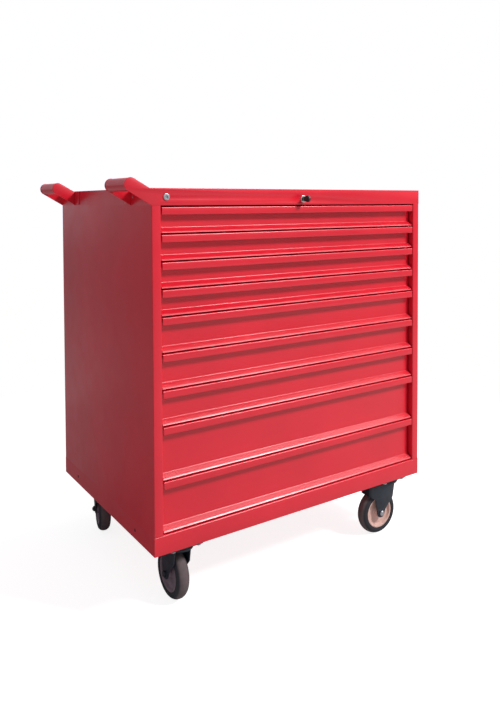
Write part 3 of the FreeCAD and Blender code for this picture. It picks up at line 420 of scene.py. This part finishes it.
# Nitrile rubber, rolled into fine ribs: near black and matt, greyer where it is dusty.
mat_rubber, tree, shader, spot = surface("ribbed_nitrile_rubber", Roughness=0.8)
two_tone(tree, shader, spot, 0.08, "202124", "2E2F32")
grain(tree, shader, spot, 1 * MM, 0.1 * MM, 0.3)

RIB_PITCH, RIB_DEEP = 6 * MM, 0.9 * MM
low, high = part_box("top_mat")
count = int((high.y - low.y) / RIB_PITCH)
pitch = (high.y - low.y) / count
rib = np.array([(0.06, 0), (0.3, 0), (0.42, 1), (0.88, 1), (1.0, 0)])
along = low.y + (np.arange(count)[:, None] + rib[:, 0]).ravel() * pitch
top_line = np.stack([along, high.z - RIB_DEEP * np.tile(1 - rib[:, 1], count)], 1)
outline = np.concatenate([[(low.y, low.z)], [(low.y, high.z - RIB_DEEP)], top_line,
                          [(high.y, low.z)]])
mat = coat(solid("rubber_mat", [drawn(outline, "x", low.x, high.x)]), mat_rubber)
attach(mat, "cabinet")
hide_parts("top_mat")


# ---- drawers ----
# A front is one 1.2 mm sheet folded into a grip strip on top, a panel set back behind it,
# and a sloped lip with a small nose below. The tub behind it is spot welded sheet.

def folded(path, radii, thick):
    """A bent sheet's closed outline: an open path, and the same path set off to its left.

    With n and m the left normals before and after a bend, the sheet's other face passes
    at thick (n + m) / (1 + n . m), and its bend is tighter or wider by the thickness.
    """
    path = np.asarray(path, float)
    on = np.diff(path, axis=0)
    on /= np.linalg.norm(on, axis=1, keepdims=True)
    left_of = np.stack([-on[:, 1], on[:, 0]], 1)
    before, after = left_of[[0, *range(len(on))]], left_of[[*range(len(on)), -1]]
    other = path + thick * (before + after) / (1 + (before * after).sum(1, keepdims=True))
    turn = np.sign(before[:, 0] * after[:, 1] - before[:, 1] * after[:, 0])
    radii = np.asarray(radii, float)
    far_radii = np.maximum(radii - turn * thick, 0) * (radii > 0)
    return rounded(np.concatenate([path, other[::-1]]), np.concatenate([radii, far_radii[::-1]]))


FRONT_SHEET, STRIP, STRIP_HEM, RECESS = 1.2 * MM, 21 * MM, 6 * MM, 20.5 * MM
NOSE_BACK, NOSE_FOOT, NOSE_LEAN, NOSE_TALL = 4 * MM, 1.2 * MM, 2.6 * MM, 4.4 * MM
NOSE_RETURN, RAMP_RISE = 8 * MM, 15 * MM
drawers = sorted(n[:-len("_front")] for n in frame["nodes"] if n.endswith("_front"))
for drawer in drawers:
    low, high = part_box(drawer + "_front")
    face, panel, nose = low.y + FRONT_SHEET, low.y + RECESS, low.y + NOSE_BACK
    strip, top = high.z - STRIP + FRONT_SHEET, high.z - FRONT_SHEET
    path = [(low.y + STRIP_HEM, strip), (face, strip), (face, top), (panel, top),
            (panel, low.z + RAMP_RISE), (nose + NOSE_LEAN, low.z + NOSE_TALL),
            (nose, low.z + NOSE_FOOT), (nose, low.z), (nose + NOSE_RETURN, low.z)]
    bends = [0, 0.8 * MM, 1.6 * MM, 0.6 * MM, 3 * MM, 1.5 * MM, 0.8 * MM, 0.5 * MM, 0]
    outline = folded(path, bends, FRONT_SHEET)
    piece = solid(drawer + "_face", [drawn(outline, "x", low.x, high.x)])
    coat(shade(piece), powder_coat)
    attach(piece, drawer)
    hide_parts(drawer + "_front")
    coat(frame["nodes"][drawer + "_tub"], powder_coat)
    coat(frame["nodes"][drawer + "_middle_runners"], zinc)


# ---- screws ----
# Button-head screws with a hexagon socket hold the bands, and small domed screws the sides:
# plated ones between the handle cheeks, coated ones low down. Bolts hold the casters.

def stacked(layers, centre, axis, closed=False):
    """Flat closed outlines stacked along an axis.

    A point is centre + along a + u b + v c, where a is the axis, b is level and square to
    it, and c completes the set. Each layer is (along, outline of (u, v) points).
    """
    a = np.asarray(axis, float) / np.linalg.norm(axis)
    b = np.cross((0, 0, 1), a)
    b = b / np.linalg.norm(b) if np.linalg.norm(b) > 1e-6 else np.array((1.0, 0, 0))
    c = np.cross(a, b)
    rings = [centre + along * a + np.asarray(o)[:, :1] * b + np.asarray(o)[:, 1:] * c
             for along, o in layers]
    return skin(rings, caps=not closed, closed=closed)


def turned(profile, centre, axis, count=48, closed=False):
    """A profile of (along, out) points carried once round an axis."""
    return stacked([(along, ring((0, 0), max(out, 0.01 * MM), count)) for along, out in profile],
                   centre, axis, closed)


CAP_HEAD, CAP_ROUND, CAP_SHANK, CAP_LONG = 9.5 * MM, 1.6 * MM, 5 * MM, 14 * MM
SOCKET, SOCKET_DEEP, STUD_HEAD, STUD_SHANK = 4.6 * MM, 4 * MM, 4.5 * MM, 2.4 * MM
# A hexagon of unit width from its middle to a corner: r = cos 30 / cos(30 - angle off it).
a = np.linspace(0, 2 * np.pi, 36, endpoint=False)
off = np.abs((a + np.pi / 6) % (np.pi / 3) - np.pi / 6)
reach = np.cos(np.pi / 6) / np.cos(np.pi / 6 - off)
hexagon = reach[:, None] * np.stack([np.cos(a), np.sin(a)], 1)
low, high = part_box("band_screws")
caps = []
for face, tip in ((front, low.y), (rear, high.y)):
    out, tall = (tip - face) / abs(tip - face), abs(tip - face)
    bend = np.linspace(0, np.pi / 2, 6)
    layers = [(-CAP_LONG, ring((0, 0), CAP_SHANK, 36)), (0, ring((0, 0), CAP_SHANK, 36)),
              (0, ring((0, 0), CAP_HEAD, 36))]
    layers += [(tall - CAP_ROUND + CAP_ROUND * np.sin(b),
                ring((0, 0), CAP_HEAD - CAP_ROUND * (1 - np.cos(b)), 36)) for b in bend]
    layers += [(tall, 1.08 * SOCKET * hexagon), (tall - 0.3 * MM, SOCKET * hexagon),
               (tall - SOCKET_DEEP, SOCKET * hexagon)]
    caps.append(stacked(layers, (screw_x, face, screw_z), (0, out, 0)))

# Stainless button heads, cold formed: grey metal, brushed dull by tumbling.
stainless, tree, shader, spot = surface("stainless_button_head", Metallic=1)
two_tone(tree, shader, spot, 0.004, "D8D9DB", "B4B6BA")
tree.links.new(mottle(tree, spot, 0.003, 0.26, 0.4), shader.inputs["Roughness"])

# Steel screws coated over with the cabinet, and darker where the coat has worn.
painted_steel, tree, shader, spot = surface("painted_screw_steel", Roughness=0.5)
two_tone(tree, shader, spot, 0.003, "6E1A24", "4A161C")

dome = [(-4 * MM, STUD_SHANK), (0, STUD_SHANK), (0, STUD_HEAD), (0.35 * MM, STUD_HEAD)]
dome += [(0.35 * MM + 0.85 * MM * np.sin(b), STUD_HEAD * np.cos(b) ** 0.9)
         for b in np.linspace(0.1, 1.5, 6)]
STUD_DROP, STUD_IN, STUD_RISE, STUD_APART = 23 * MM, 9 * MM, 25 * MM, 468 * MM
cheek_stud = [(left, y, band_high - STUD_DROP) for y in (grip_low.y + GRIP_LONG - STUD_IN,
                                                        grip_high.y - GRIP_LONG + STUD_IN)]
low_stud = [(x, 0.5 * (front + rear + way * STUD_APART), floor_gap + STUD_RISE)
            for x in (left, right) for way in (-1, 1)]
for name, parts, node, finish in (
        ("band_button_screws", caps, "band_screws", stainless),
        ("cheek_domed_screws", [turned(dome, c, (-1, 0, 0), 24) for c in cheek_stud],
         "side_screws", zinc),
        ("side_domed_screws", [turned(dome, c, (-1 if c[0] == left else 1, 0, 0), 24)
                               for c in low_stud], "side_screws", painted_steel)):
    piece = coat(shade(solid(name, parts), 40), finish)
    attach(piece, "cabinet")
    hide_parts(node)
coat(frame["nodes"]["caster_bolts"], zinc)


# ---- central lock and its key ----
# A nickelled cam lock: a round face and threaded body held by a nut behind the band, and a
# barrel with a crank pin. The key has a steel blade and a moulded black bow.

# Satin nickel plate over a zinc casting: warm light grey, evenly soft.
nickel, tree, shader, spot = surface("satin_nickel_plate", Metallic=1)
tree.links.new(mottle(tree, spot, 0.004, 0.22, 0.32), shader.inputs["Roughness"])
two_tone(tree, shader, spot, 0.006, "E2E0DC", "D2D0CC")
coat(frame["nodes"]["lock_barrel"], nickel)

LOCK_FACE, LOCK_BODY, LOCK_LONG, LOCK_BORE = 11 * MM, 9 * MM, 25 * MM, 6.1 * MM
NUT, NUT_THICK, PITCH, THREADS = 13 * MM, 4 * MM, 1.25 * MM, 14
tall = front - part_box("lock_housing")[0].y
profile = [(tall, LOCK_BORE + 0.3 * MM), (tall, LOCK_FACE - 1.2 * MM),
           (tall - 0.35 * MM, LOCK_FACE - 0.4 * MM), (tall - 1.2 * MM, LOCK_FACE),
           (0, LOCK_FACE), (0, LOCK_BODY)]
for turn in range(THREADS):
    start = -BAND_SHEET - NUT_THICK - turn * PITCH
    profile += [(start, LOCK_BODY), (start - 0.6 * MM, LOCK_BODY - 0.5 * MM)]
profile += [(-LOCK_LONG, LOCK_BODY - 0.5 * MM), (-LOCK_LONG, LOCK_BORE),
            (tall - 0.3 * MM, LOCK_BORE)]
nut = [(-BAND_SHEET, (NUT - 0.8 * MM) * hexagon), (-BAND_SHEET - 0.4 * MM, NUT * hexagon),
       (-BAND_SHEET - NUT_THICK + 0.4 * MM, NUT * hexagon),
       (-BAND_SHEET - NUT_THICK, (NUT - 0.8 * MM) * hexagon)]
nut_bore = ring((0, 0), LOCK_BODY + 0.05 * MM, 36)
nut += [(along, nut_bore) for along in (-BAND_SHEET - NUT_THICK, -BAND_SHEET)]
lock = solid("lock_case", [turned(profile, (lock_x, front, lock_z), (0, -1, 0), closed=True),
                           stacked(nut, (lock_x, front, lock_z), (0, -1, 0), closed=True)])
coat(shade(lock), nickel)
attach(lock, "cabinet")
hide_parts("lock_housing")

# Glass-filled nylon, moulded black: matt, with a fine spark-eroded texture.
key_plastic, tree, shader, spot = surface("moulded_nylon_black", Roughness=0.52)
two_tone(tree, shader, spot, 0.005, "1D1D20", "26262A")
grain(tree, shader, spot, 0.6 * MM, 0.03 * MM, 0.3)

BLADE, BLADE_TALL, BLADE_IN, BOW_START, BOW, BOW_THICK, NECK = (
    v * MM for v in (2, 8, 14, 6.5, 10, 7, 8))
RING_HOLE, RING_BACK, BOW_ROLL, NECK_CUT = 2.5 * MM, 5 * MM, 1 * MM, 1.5 * MM
key_low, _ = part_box("key")
bow_y, bow_end = key_low.y + BOW, front - BOW_START
# The bow's round runs until it is as wide as the neck on either side, 0.8 of its radius.
b = np.arccos(-0.6) * np.linspace(-1, 1, 37)
arc = np.stack([bow_y - BOW * np.cos(b), lock_z + BOW * np.sin(b)], 1)
bow_outline = np.concatenate([arc, [(bow_end - NECK_CUT, lock_z + NECK),
                                    (bow_end, lock_z + NECK - NECK_CUT),
                                    (bow_end, lock_z - NECK + NECK_CUT),
                                    (bow_end - NECK_CUT, lock_z - NECK)]])
bow = solid("key_bow", [plate(bow_outline, "x", lock_x - BOW_THICK / 2, lock_x + BOW_THICK / 2,
                              BOW_ROLL, [ring((bow_y - RING_BACK, lock_z), RING_HOLE, 24)], 5)])
edge, spine = lock_z - BLADE_TALL / 2, lock_z + BLADE_TALL / 2
# The bitting: how far in from the band, and how high above the blade's edge, each cut is.
cuts = ((4, 0), (5.2, 1.6), (6.6, 0.6), (8.4, 2), (10, 1), (11.6, 1.8), (14, 3))
blade_outline = [(bow_end, edge), *((front + y * MM, edge + z * MM) for y, z in cuts),
                 (front + BLADE_IN, lock_z + 1 * MM), (front + BLADE_IN - 2.5 * MM, spine),
                 (bow_end, spine)]
blade = solid("key_blade", [plate(blade_outline, "x", lock_x - BLADE / 2, lock_x + BLADE / 2,
                                  0.15 * MM)])
for piece, finish, kind in ((bow, key_plastic, "key_black"), (blade, nickel, "chrome")):
    coat(shade(piece, 35), finish)
    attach(piece, "lock_barrel")
    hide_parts("key")


# ---- caster plates and ball races ----
# A stamped plate takes the four bolts; the race below it turns on a ring of balls, and a
# riveted kingpin holds the fork up to it. All of it is coated with the forks.

# Epoxy powder coat in blue-black over pressed steel: half gloss, with orange peel whose
# bumps are about 1 mm apart and are drawn at 2.
fork_coat, tree, shader, spot = surface("powder_coat_blue_black", Roughness=0.34)
two_tone(tree, shader, spot, 0.02, "1D2733", "151D28")
tree.links.new(mottle(tree, spot, 0.01, 0.3, 0.44), shader.inputs["Roughness"])
grain(tree, shader, spot, 2 * MM, 0.05 * MM, 0.3)

PLATE_LONG, PLATE_WIDE, PLATE_THICK, PLATE_CORNER, PLATE_EDGE, BOLT_X, BOLT_Y, BOLT_HOLE = (
    v * MM for v in (52.5, 42.5, 5, 8, 0.8, 40, 30, 4.1))
RACE, RACE_TALL, KINGPIN, KINGPIN_HEAD, HEAD_TALL = (v * MM for v in (38, 9, 6, 10, 6))
swivels = {j["child"]: j for j in frame["joints"] if j["name"].endswith("_swivel")}
rolls = {j["parent"]: j for j in frame["joints"] if j["name"].endswith("_roll")}
race_low = floor_gap - PLATE_THICK - RACE_TALL
crown_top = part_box("front_left_fork")[1].z
crown_low = crown_top - 4 * MM
head_low = crown_low - 0.4 * MM - HEAD_TALL
# The race's two pressed cups, with the waist between them, and the kingpin under its head.
race = [(up * MM, RACE - less * MM) for up, less in
        ((0, 3), (0.5, 1), (1.6, 0), (3.4, 0), (4, 1.2), (4.8, 1.2), (5.4, 0.4), (9, 1.6))]
head = [(0, KINGPIN_HEAD - 3 * MM), (0.8 * MM, KINGPIN_HEAD - 1.2 * MM),
        (2.2 * MM, KINGPIN_HEAD), (HEAD_TALL, KINGPIN_HEAD), (HEAD_TALL, KINGPIN),
        (race_low - head_low, KINGPIN)]
parts = []
for joint in swivels.values():
    x, y, _ = joint["pos_m"]
    corners = [(x + i * PLATE_LONG, y + j * PLATE_WIDE)
               for i, j in ((-1, -1), (1, -1), (1, 1), (-1, 1))]
    holes = [ring((x + i * BOLT_X, y + j * BOLT_Y), BOLT_HOLE, 24)
             for i in (-1, 1) for j in (-1, 1)]
    parts.append(plate(rounded(corners, PLATE_CORNER, 7), "z", floor_gap - PLATE_THICK,
                       floor_gap, PLATE_EDGE, holes))
    parts.append(turned(race, (x, y, race_low), (0, 0, 1), 64))
    parts.append(turned(head, (x, y, head_low), (0, 0, 1), 32))
plates = coat(shade(solid("caster_top_plates", parts)), fork_coat)
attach(plates, "cabinet")
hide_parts("caster_plates")


# ---- caster forks and axles ----
# Pressed from 4 mm steel: a round crown, a web at the back with wide bends and two legs
# that taper to the axle. The axle is a plated bolt with its nut.

FORK_HALF, FORK_SKIN, FORK_TAIL, FORK_BEND, CROWN = (v * MM for v in (27, 4, 99, 12, 35))
TRAIL, AXLE_Z, FORK_END = 50 * MM, 75 * MM, 16 * MM
FORK_EDGE, TUCK, WEB_LOW, WEB_FALL = 1.1 * MM, 0.2 * MM, 132.1 * MM, 6.9 / 12
BOLT, BOLT_HEX, HEX_TALL, PROUD, CUT = (v * MM for v in (5, 9, 6, 3, 0.8))
leg_top = crown_top - TUCK
b = np.radians(np.linspace(0, -180, 17))
toe = np.stack([-TRAIL + FORK_END * np.cos(b), AXLE_Z + FORK_END * np.sin(b)], 1)
bend_x = -FORK_TAIL + FORK_BEND
corners = np.concatenate([[(bend_x, leg_top), (13 * MM, leg_top), (4 * MM, crown_top - 52 * MM),
                           (-30 * MM, 84 * MM)], toe,
                          [(-74 * MM, crown_top - 48 * MM), (bend_x, WEB_LOW)]])
leg_outline = rounded(corners, [0, 2 * MM, 12 * MM, 9 * MM] + [0] * len(toe) + [12 * MM, 0])
b = np.radians(np.linspace(0, 90, 9))
quarter = np.stack([-np.sin(b), np.cos(b)], 1)
bend_path = [(np.array((bend_x, FORK_HALF - FORK_BEND)), way) for way in quarter]
bend_path += [(p * (1, -1), w * (1, -1)) for p, w in bend_path[::-1]]
crown_edge = FORK_HALF - FORK_SKIN + 0.6 * MM
b = (np.pi - np.arcsin(crown_edge / CROWN)) * np.linspace(-1, 1, 49)
crown_outline = np.concatenate([CROWN * np.stack([np.cos(b), np.sin(b)], 1),
                                [(-FORK_TAIL + FORK_SKIN + 1 * MM, crown_edge),
                                 (-FORK_TAIL + FORK_SKIN + 1 * MM, -crown_edge)]])
# The axle bolt from its head to the thread that stands out of the nut.
end = FORK_HALF + HEX_TALL
hex_side = [(FORK_HALF, ring((0, 0), BOLT, 36)), (FORK_HALF, BOLT_HEX * hexagon),
            (end - CUT, BOLT_HEX * hexagon), (end, 0.88 * BOLT_HEX * hexagon)]
bolt = ([(-along, layer) for along, layer in hex_side[::-1]] + hex_side
        + [(end, ring((0, 0), BOLT, 36)), (end + PROUD - CUT, ring((0, 0), BOLT, 36)),
           (end + PROUD, ring((0, 0), BOLT - CUT, 36))])
EAR, PIVOT_IN, PIVOT_DROP, EYE, PIN = (v * MM for v in (4.5, 12, 9, 6, 3))
pivot_x, pivot_z = -FORK_TAIL - PIVOT_IN, crown_top - PIVOT_DROP

# Zinc plate darkened as painted shade: a dull dark grey with little gloss.
shaded_zinc, tree, shader, spot = surface("zinc_plate_brake_dust", Metallic=0.7, Roughness=0.55)
two_tone(tree, shader, spot, 0.004, "4A4B50", "35363B")


def set_in(parts, corner):
    """Parts drawn round a swivel (forwards, across, up) turned to where the caster points.

    The trail from the swivel to the axle runs backwards, and the wheel's own axis across.
    """
    at = np.array(swivels[corner]["pos_m"][:2])
    across = np.array(rolls[corner]["axis"][:2])
    across /= np.linalg.norm(across)
    forwards = (at - np.array(rolls[corner]["pos_m"][:2])) / TRAIL
    turn = np.array([[*forwards, 0], [*across, 0], [0, 0, 1]])
    return [(np.asarray(points) @ turn + (*at, 0), faces) for points, faces in parts]


for corner in swivels:
    braked = any(j["parent"] == corner and "brake" in j["name"] for j in frame["joints"])
    parts = [plate(leg_outline, "y", *sorted((side * (FORK_HALF - FORK_SKIN), side * FORK_HALF)),
                   FORK_EDGE, [ring((-TRAIL, AXLE_Z), 5.1 * MM, 24)]) for side in (-1, 1)]
    rings = []
    for point, way in bend_path:
        outer, inner = point + FORK_BEND * way, point + (FORK_BEND - FORK_SKIN) * way
        foot = WEB_LOW + (bend_x - outer[0]) * WEB_FALL
        mid = 0.5 * (outer + inner)
        rings.append([(*outer, foot + FORK_EDGE), (*outer, leg_top - FORK_EDGE),
                      (*(outer + 0.3 * (inner - outer)), leg_top), (*mid, leg_top + TUCK / 2),
                      (*inner, leg_top), (*inner, foot + FORK_EDGE),
                      (*(inner + 0.3 * (outer - inner)), foot),
                      (*(outer + 0.3 * (inner - outer)), foot)])
    parts.append(skin(rings))
    parts.append(plate(crown_outline, "z", crown_low, crown_top, 0.6 * MM,
                       [ring((0, 0), 6.1 * MM, 32)]))
    if braked:
        for side in (-1, 1):
            near, far = sorted((side * (FORK_HALF - EAR), side * (FORK_HALF - 0.1 * MM)))
            ear = rounded([(pivot_x - PIN, pivot_z - EYE), (bend_x, pivot_z - EYE),
                           (bend_x, pivot_z + EYE), (pivot_x - PIN, pivot_z + EYE)],
                          [3 * MM, 0, 0, 3 * MM])
            parts.append(plate(ear, "y", near, far, 0.6 * MM))
        parts.append(turned([(-FORK_HALF, PIN - 0.4 * MM), (-FORK_HALF + 0.4 * MM, PIN),
                             (FORK_HALF - 0.4 * MM, PIN), (FORK_HALF, PIN - 0.4 * MM)],
                            (pivot_x, 0, pivot_z), (0, 1, 0), 24))
    fork = solid(corner.replace("caster", "fork_pressing"), set_in(parts, corner))
    coat(shade(fork), fork_coat)
    axle = solid(corner.replace("caster", "axle"),
                 set_in([stacked(bolt, (-TRAIL, 0, AXLE_Z), (0, 1, 0))], corner))
    # The braked casters' axles take the darker zinc, which is painted shade.
    coat(shade(axle), shaded_zinc if braked else zinc)
    for piece, kind in ((fork, "fork_paint"), (axle, "zinc_steel")):
        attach(piece, corner)
        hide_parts(corner.replace("caster", "fork"))


# ---- brake pedals ----
# On the two casters under the handles a foot lever turns on a pin behind the fork. Its
# tread is ribbed, and a shoe hangs from it behind the tyre.

PEDAL_HALF, PEDAL_LONG, PEDAL_THICK, SHOE_HALF, SHOE_DROP = (v * MM for v in (22, 34, 2, 15, 35))
lever = [(pivot_x, -PEDAL_HALF), (pivot_x, PEDAL_HALF), (pivot_x - PEDAL_LONG, PEDAL_HALF),
         (pivot_x - PEDAL_LONG, -PEDAL_HALF)]
pedal = [plate(rounded(lever, [0, 0, 8 * MM, 8 * MM], 7), "z", pivot_z - PEDAL_THICK,
               pivot_z + PEDAL_THICK, 1 * MM)]
eye = [(PEDAL_HALF, PIN + 0.1 * MM), (PEDAL_HALF, EYE - 0.7 * MM), (0.97 * PEDAL_HALF, EYE)]
pedal.append(turned([(-along, out) for along, out in eye] + eye[::-1],
                    (pivot_x, 0, pivot_z), (0, 1, 0), 32, closed=True))
shoe = rounded([(-SHOE_HALF, pivot_z - SHOE_DROP), (SHOE_HALF, pivot_z - SHOE_DROP),
                (SHOE_HALF, pivot_z - PIN - 1 * MM), (-SHOE_HALF, pivot_z - PIN - 1 * MM)],
               [5 * MM, 5 * MM, 0, 0])
pedal.append(plate(shoe, "x", pivot_x - PEDAL_THICK, pivot_x + PEDAL_THICK, 0.8 * MM))
tread_z = pivot_z + PEDAL_THICK
for i in range(5):
    x = pivot_x - PEDAL_LONG + (5 + 4.4 * i) * MM
    rib = rounded([(x - 1.1 * MM, tread_z - 0.3 * MM), (x + 1.1 * MM, tread_z - 0.3 * MM),
                   (x + 0.7 * MM, tread_z + 0.9 * MM), (x - 0.7 * MM, tread_z + 0.9 * MM)],
                  [0, 0, 0.5 * MM, 0.5 * MM])
    half = PEDAL_HALF - (6 if i == 0 else 4) * MM
    pedal.append(drawn(rib, "y", -half, half))
for joint in frame["joints"]:
    if joint["name"].endswith("_brake_pedal"):
        piece = solid(joint["name"].replace("brake_pedal", "foot_lever"),
                      set_in(pedal, joint["parent"]))
        coat(shade(piece), fork_coat)
        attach(piece, joint["child"])
        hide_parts(joint["name"])


# ---- wheels ----
# A solid tyre of elastic rubber is bonded round a moulded nylon hub. Both are profiles, in
# millimetres along and out from the axle, turned about it.

# Elastic solid rubber: near black on its flanks, and on the tread worn to a dusty warm grey.
tyre_rubber, tree, shader, spot = surface("elastic_tyre_rubber", Roughness=0.72)
worn = add(tree, "Attribute", {"attribute_name": "worn"})
patchy = add(tree, "Math", {"operation": "MULTIPLY"})
tree.links.new(worn.outputs["Fac"], patchy.inputs[0])
tree.links.new(mottle(tree, spot, 0.012, 0.75, 1.0), patchy.inputs[1])
tone = add(tree, "Mix", {"data_type": "RGBA"}, {"Factor": patchy.outputs[0]})
a, b = (socket for socket in tone.inputs if socket.type == "RGBA")
a.default_value, b.default_value = linear("26252B"), linear("6A5B5C")
tree.links.new(next(socket for socket in tone.outputs if socket.type == "RGBA"),
               shader.inputs["Base Color"])
grain(tree, shader, spot, 1.4 * MM, 0.08 * MM, 0.35)

# Injection-moulded polyamide in a pale pink-brown, satin from the mould.
hub_nylon, tree, shader, spot = surface("moulded_nylon_pink_brown", Roughness=0.45)
two_tone(tree, shader, spot, 0.03, "E2BDB0", "D2A79B")
grain(tree, shader, spot, 1 * MM, 0.03 * MM, 0.25)
# The same polyamide, darker and greyer as painted shade, on the two wheels below the handles.
shaded_nylon, tree, shader, spot = surface("moulded_nylon_brake_dust", Roughness=0.55)
two_tone(tree, shader, spot, 0.03, "96818B", "7E6A74")
grain(tree, shader, spot, 1 * MM, 0.03 * MM, 0.25)

WHEEL_FACETS, WEAR_FROM, WEAR_FULL = 96, 68 * MM, 72 * MM
# The crown of the tread, over t from -1 to 1 across it, is 60 + 15 (1 - |t| ^ 2.2) ^ 0.6.
tread = [(20 * t, 60 + 15 * (1 - abs(t) ** 2.2) ** 0.6) for t in np.linspace(-1, 1, 33)]
wall = [(20, 59), (19.4, 57.6), (19.9, 56.6), (19.2, 53.6), (18, 52.5)]
tyre_profile = MM * np.array(tread + wall + [(-along, out) for along, out in wall[::-1]])
# Half the hub from its bore: boss, dished web, and the rim that the tyre is bonded to.
half = [(22, 5.1), (22, 15.8), (21.2, 17), (11, 17.4), (9.5, 19), (9.5, 41.5), (10.5, 43.6),
        (16.4, 46.8), (17.5, 48.4), (17.5, 52.5)]
hub_profile = MM * np.array(half + [(-along, out) for along, out in half[::-1]])
for corner, joint in rolls.items():
    # The left wheels' hubs take the darker nylon, which is painted shade.
    nylon = shaded_nylon if "left" in corner else hub_nylon
    for name, profile, finish, kind in (("tyre", tyre_profile, tyre_rubber, "tyre_rubber"),
                                        ("hub", hub_profile, nylon, "hub_plastic")):
        piece = solid(corner.replace("caster", f"wheel_{name}"),
                      [turned(profile, joint["pos_m"], joint["axis"], WHEEL_FACETS,
                              closed=True)])
        coat(shade(piece, 25), finish)
        if name == "tyre":
            wear = np.clip((profile[:, 1] - WEAR_FROM) / (WEAR_FULL - WEAR_FROM), 0, 1)
            piece.data.attributes.new("worn", "FLOAT", "POINT").data.foreach_set(
                "value", np.repeat(wear, WHEEL_FACETS))
        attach(piece, joint["child"])
        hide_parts(corner.replace("caster", name))


# ---- floor, light and camera ----
# A pale floor that turns white away from the chest, one lamp high on the right in front, a
# wide one overhead, and a camera in front of the left front corner, just below the top.

FLOOR = 30.0
floor_mesh = bpy.data.meshes.new("floor")
floor_mesh.from_pydata([(x * FLOOR, y * FLOOR, 0)
                        for x, y in ((-1, -1), (1, -1), (1, 1), (-1, 1))], [], [(0, 1, 2, 3)])
floor = bpy.data.objects.new("floor", floor_mesh)
bpy.context.scene.collection.objects.link(floor)
# Matt white board: it keeps the chest's shadow close by and is plain white further out.
board, tree, shader, spot = surface("matt_white_board", Roughness=0.9)
shader.inputs["Base Color"].default_value = (0.5, 0.5, 0.5, 1)
far = add(tree, "VectorMath", {"operation": "LENGTH"})
tree.links.new(spot, far.inputs[0])
fade = add(tree, "MapRange", {"From Min": 0.9, "From Max": 2.2}, {"Value": far.outputs["Value"]})
lift, white = add(tree, "Emission", {"Strength": 0.85}), add(tree, "Emission", {"Strength": 1.0})
path, both = add(tree, "LightPath"), add(tree, "AddShader")
outer, pick = add(tree, "MixShader"), add(tree, "MixShader")
for source, target in ((shader.outputs[0], both.inputs[0]),
                       (lift.outputs[0], both.inputs[1]),
                       (fade.outputs["Result"], outer.inputs[0]),
                       (both.outputs[0], outer.inputs[1]),
                       (white.outputs[0], outer.inputs[2]),
                       (path.outputs["Is Camera Ray"], pick.inputs[0]),
                       (shader.outputs[0], pick.inputs[1]),
                       (outer.outputs[0], pick.inputs[2]),
                       (pick.outputs[0], tree.nodes["Material Output"].inputs["Surface"])):
    tree.links.new(source, target)
coat(floor, board)

# Even light all round, a touch cool, with more of it in reflections; the view sees white.
world = bpy.data.worlds.new("surround")
bpy.context.scene.world = world
world.use_nodes = True
tree = world.node_tree
tree.nodes.clear()
AROUND, IN_GLOSS, IN_VIEW = 0.32, 0.2, 0.68
path = add(tree, "LightPath")
steps = []
for ray, more in (("Is Glossy Ray", IN_GLOSS), ("Is Camera Ray", IN_VIEW)):
    step = add(tree, "Math", {"operation": "MULTIPLY_ADD"})
    tree.links.new(path.outputs[ray], step.inputs[0])
    step.inputs[1].default_value = more
    steps.append(step)
steps[0].inputs[2].default_value = AROUND
tree.links.new(steps[0].outputs[0], steps[1].inputs[2])
back = add(tree, "Background", {"Color": (1, 1, 1.08, 1)}, {"Strength": steps[1].outputs[0]})
add(tree, "OutputWorld", (), {"Surface": back.outputs[0]})


def lamp(name, spot, at, size, watts):
    """A soft lamp of the given sizes at a spot, turned to face a point."""
    light = bpy.data.lights.new(name, "AREA")
    light.shape, light.energy = "RECTANGLE", watts
    light.size, light.size_y = size
    item = bpy.data.objects.new(name, light)
    item.location = spot
    item.rotation_euler = (Vector(at) - Vector(spot)).to_track_quat("-Z", "Y").to_euler()
    bpy.context.scene.collection.objects.link(item)


MIDDLE = (0, 0, 0.6)
lamp("key", (3.3, -4.4, 5.0), MIDDLE, (1.1, 1.1), 385)
lamp("overhead", (1.95, -0.35, 3.4), (0.6, -0.35, 0.6), (1.7, 3.4), 64)

# The camera looks 34 degrees to the right of straight on, nearly level, through a lens shifted
# down over the chest.
YAW, PITCH, ROLL = np.radians((34.210, -1.911, -0.223))
EYE_SPOT, LENS, SHIFT = (-1.26213, -2.00349, 1.14610), 34.675, (-0.00926, -0.18141)
forward = np.array([np.sin(YAW) * np.cos(PITCH), np.cos(YAW) * np.cos(PITCH), np.sin(PITCH)])
level = np.array([np.cos(YAW), -np.sin(YAW), 0])
upright = np.cross(level, forward)
across = level * np.cos(ROLL) + upright * np.sin(ROLL)
up = upright * np.cos(ROLL) - level * np.sin(ROLL)
lens = bpy.data.cameras.new("camera")
lens.lens = LENS
lens.shift_x, lens.shift_y = SHIFT
lens.clip_end = 200
camera = bpy.data.objects.new("camera", lens)
camera.matrix_world = Matrix([[*row, spot] for row, spot in
                              zip(np.stack([across, up, -forward], 1), EYE_SPOT)]
                             + [[0, 0, 0, 1]])
bpy.context.scene.collection.objects.link(camera)
bpy.context.scene.camera = camera
bpy.context.scene.view_settings.view_transform = "Standard"
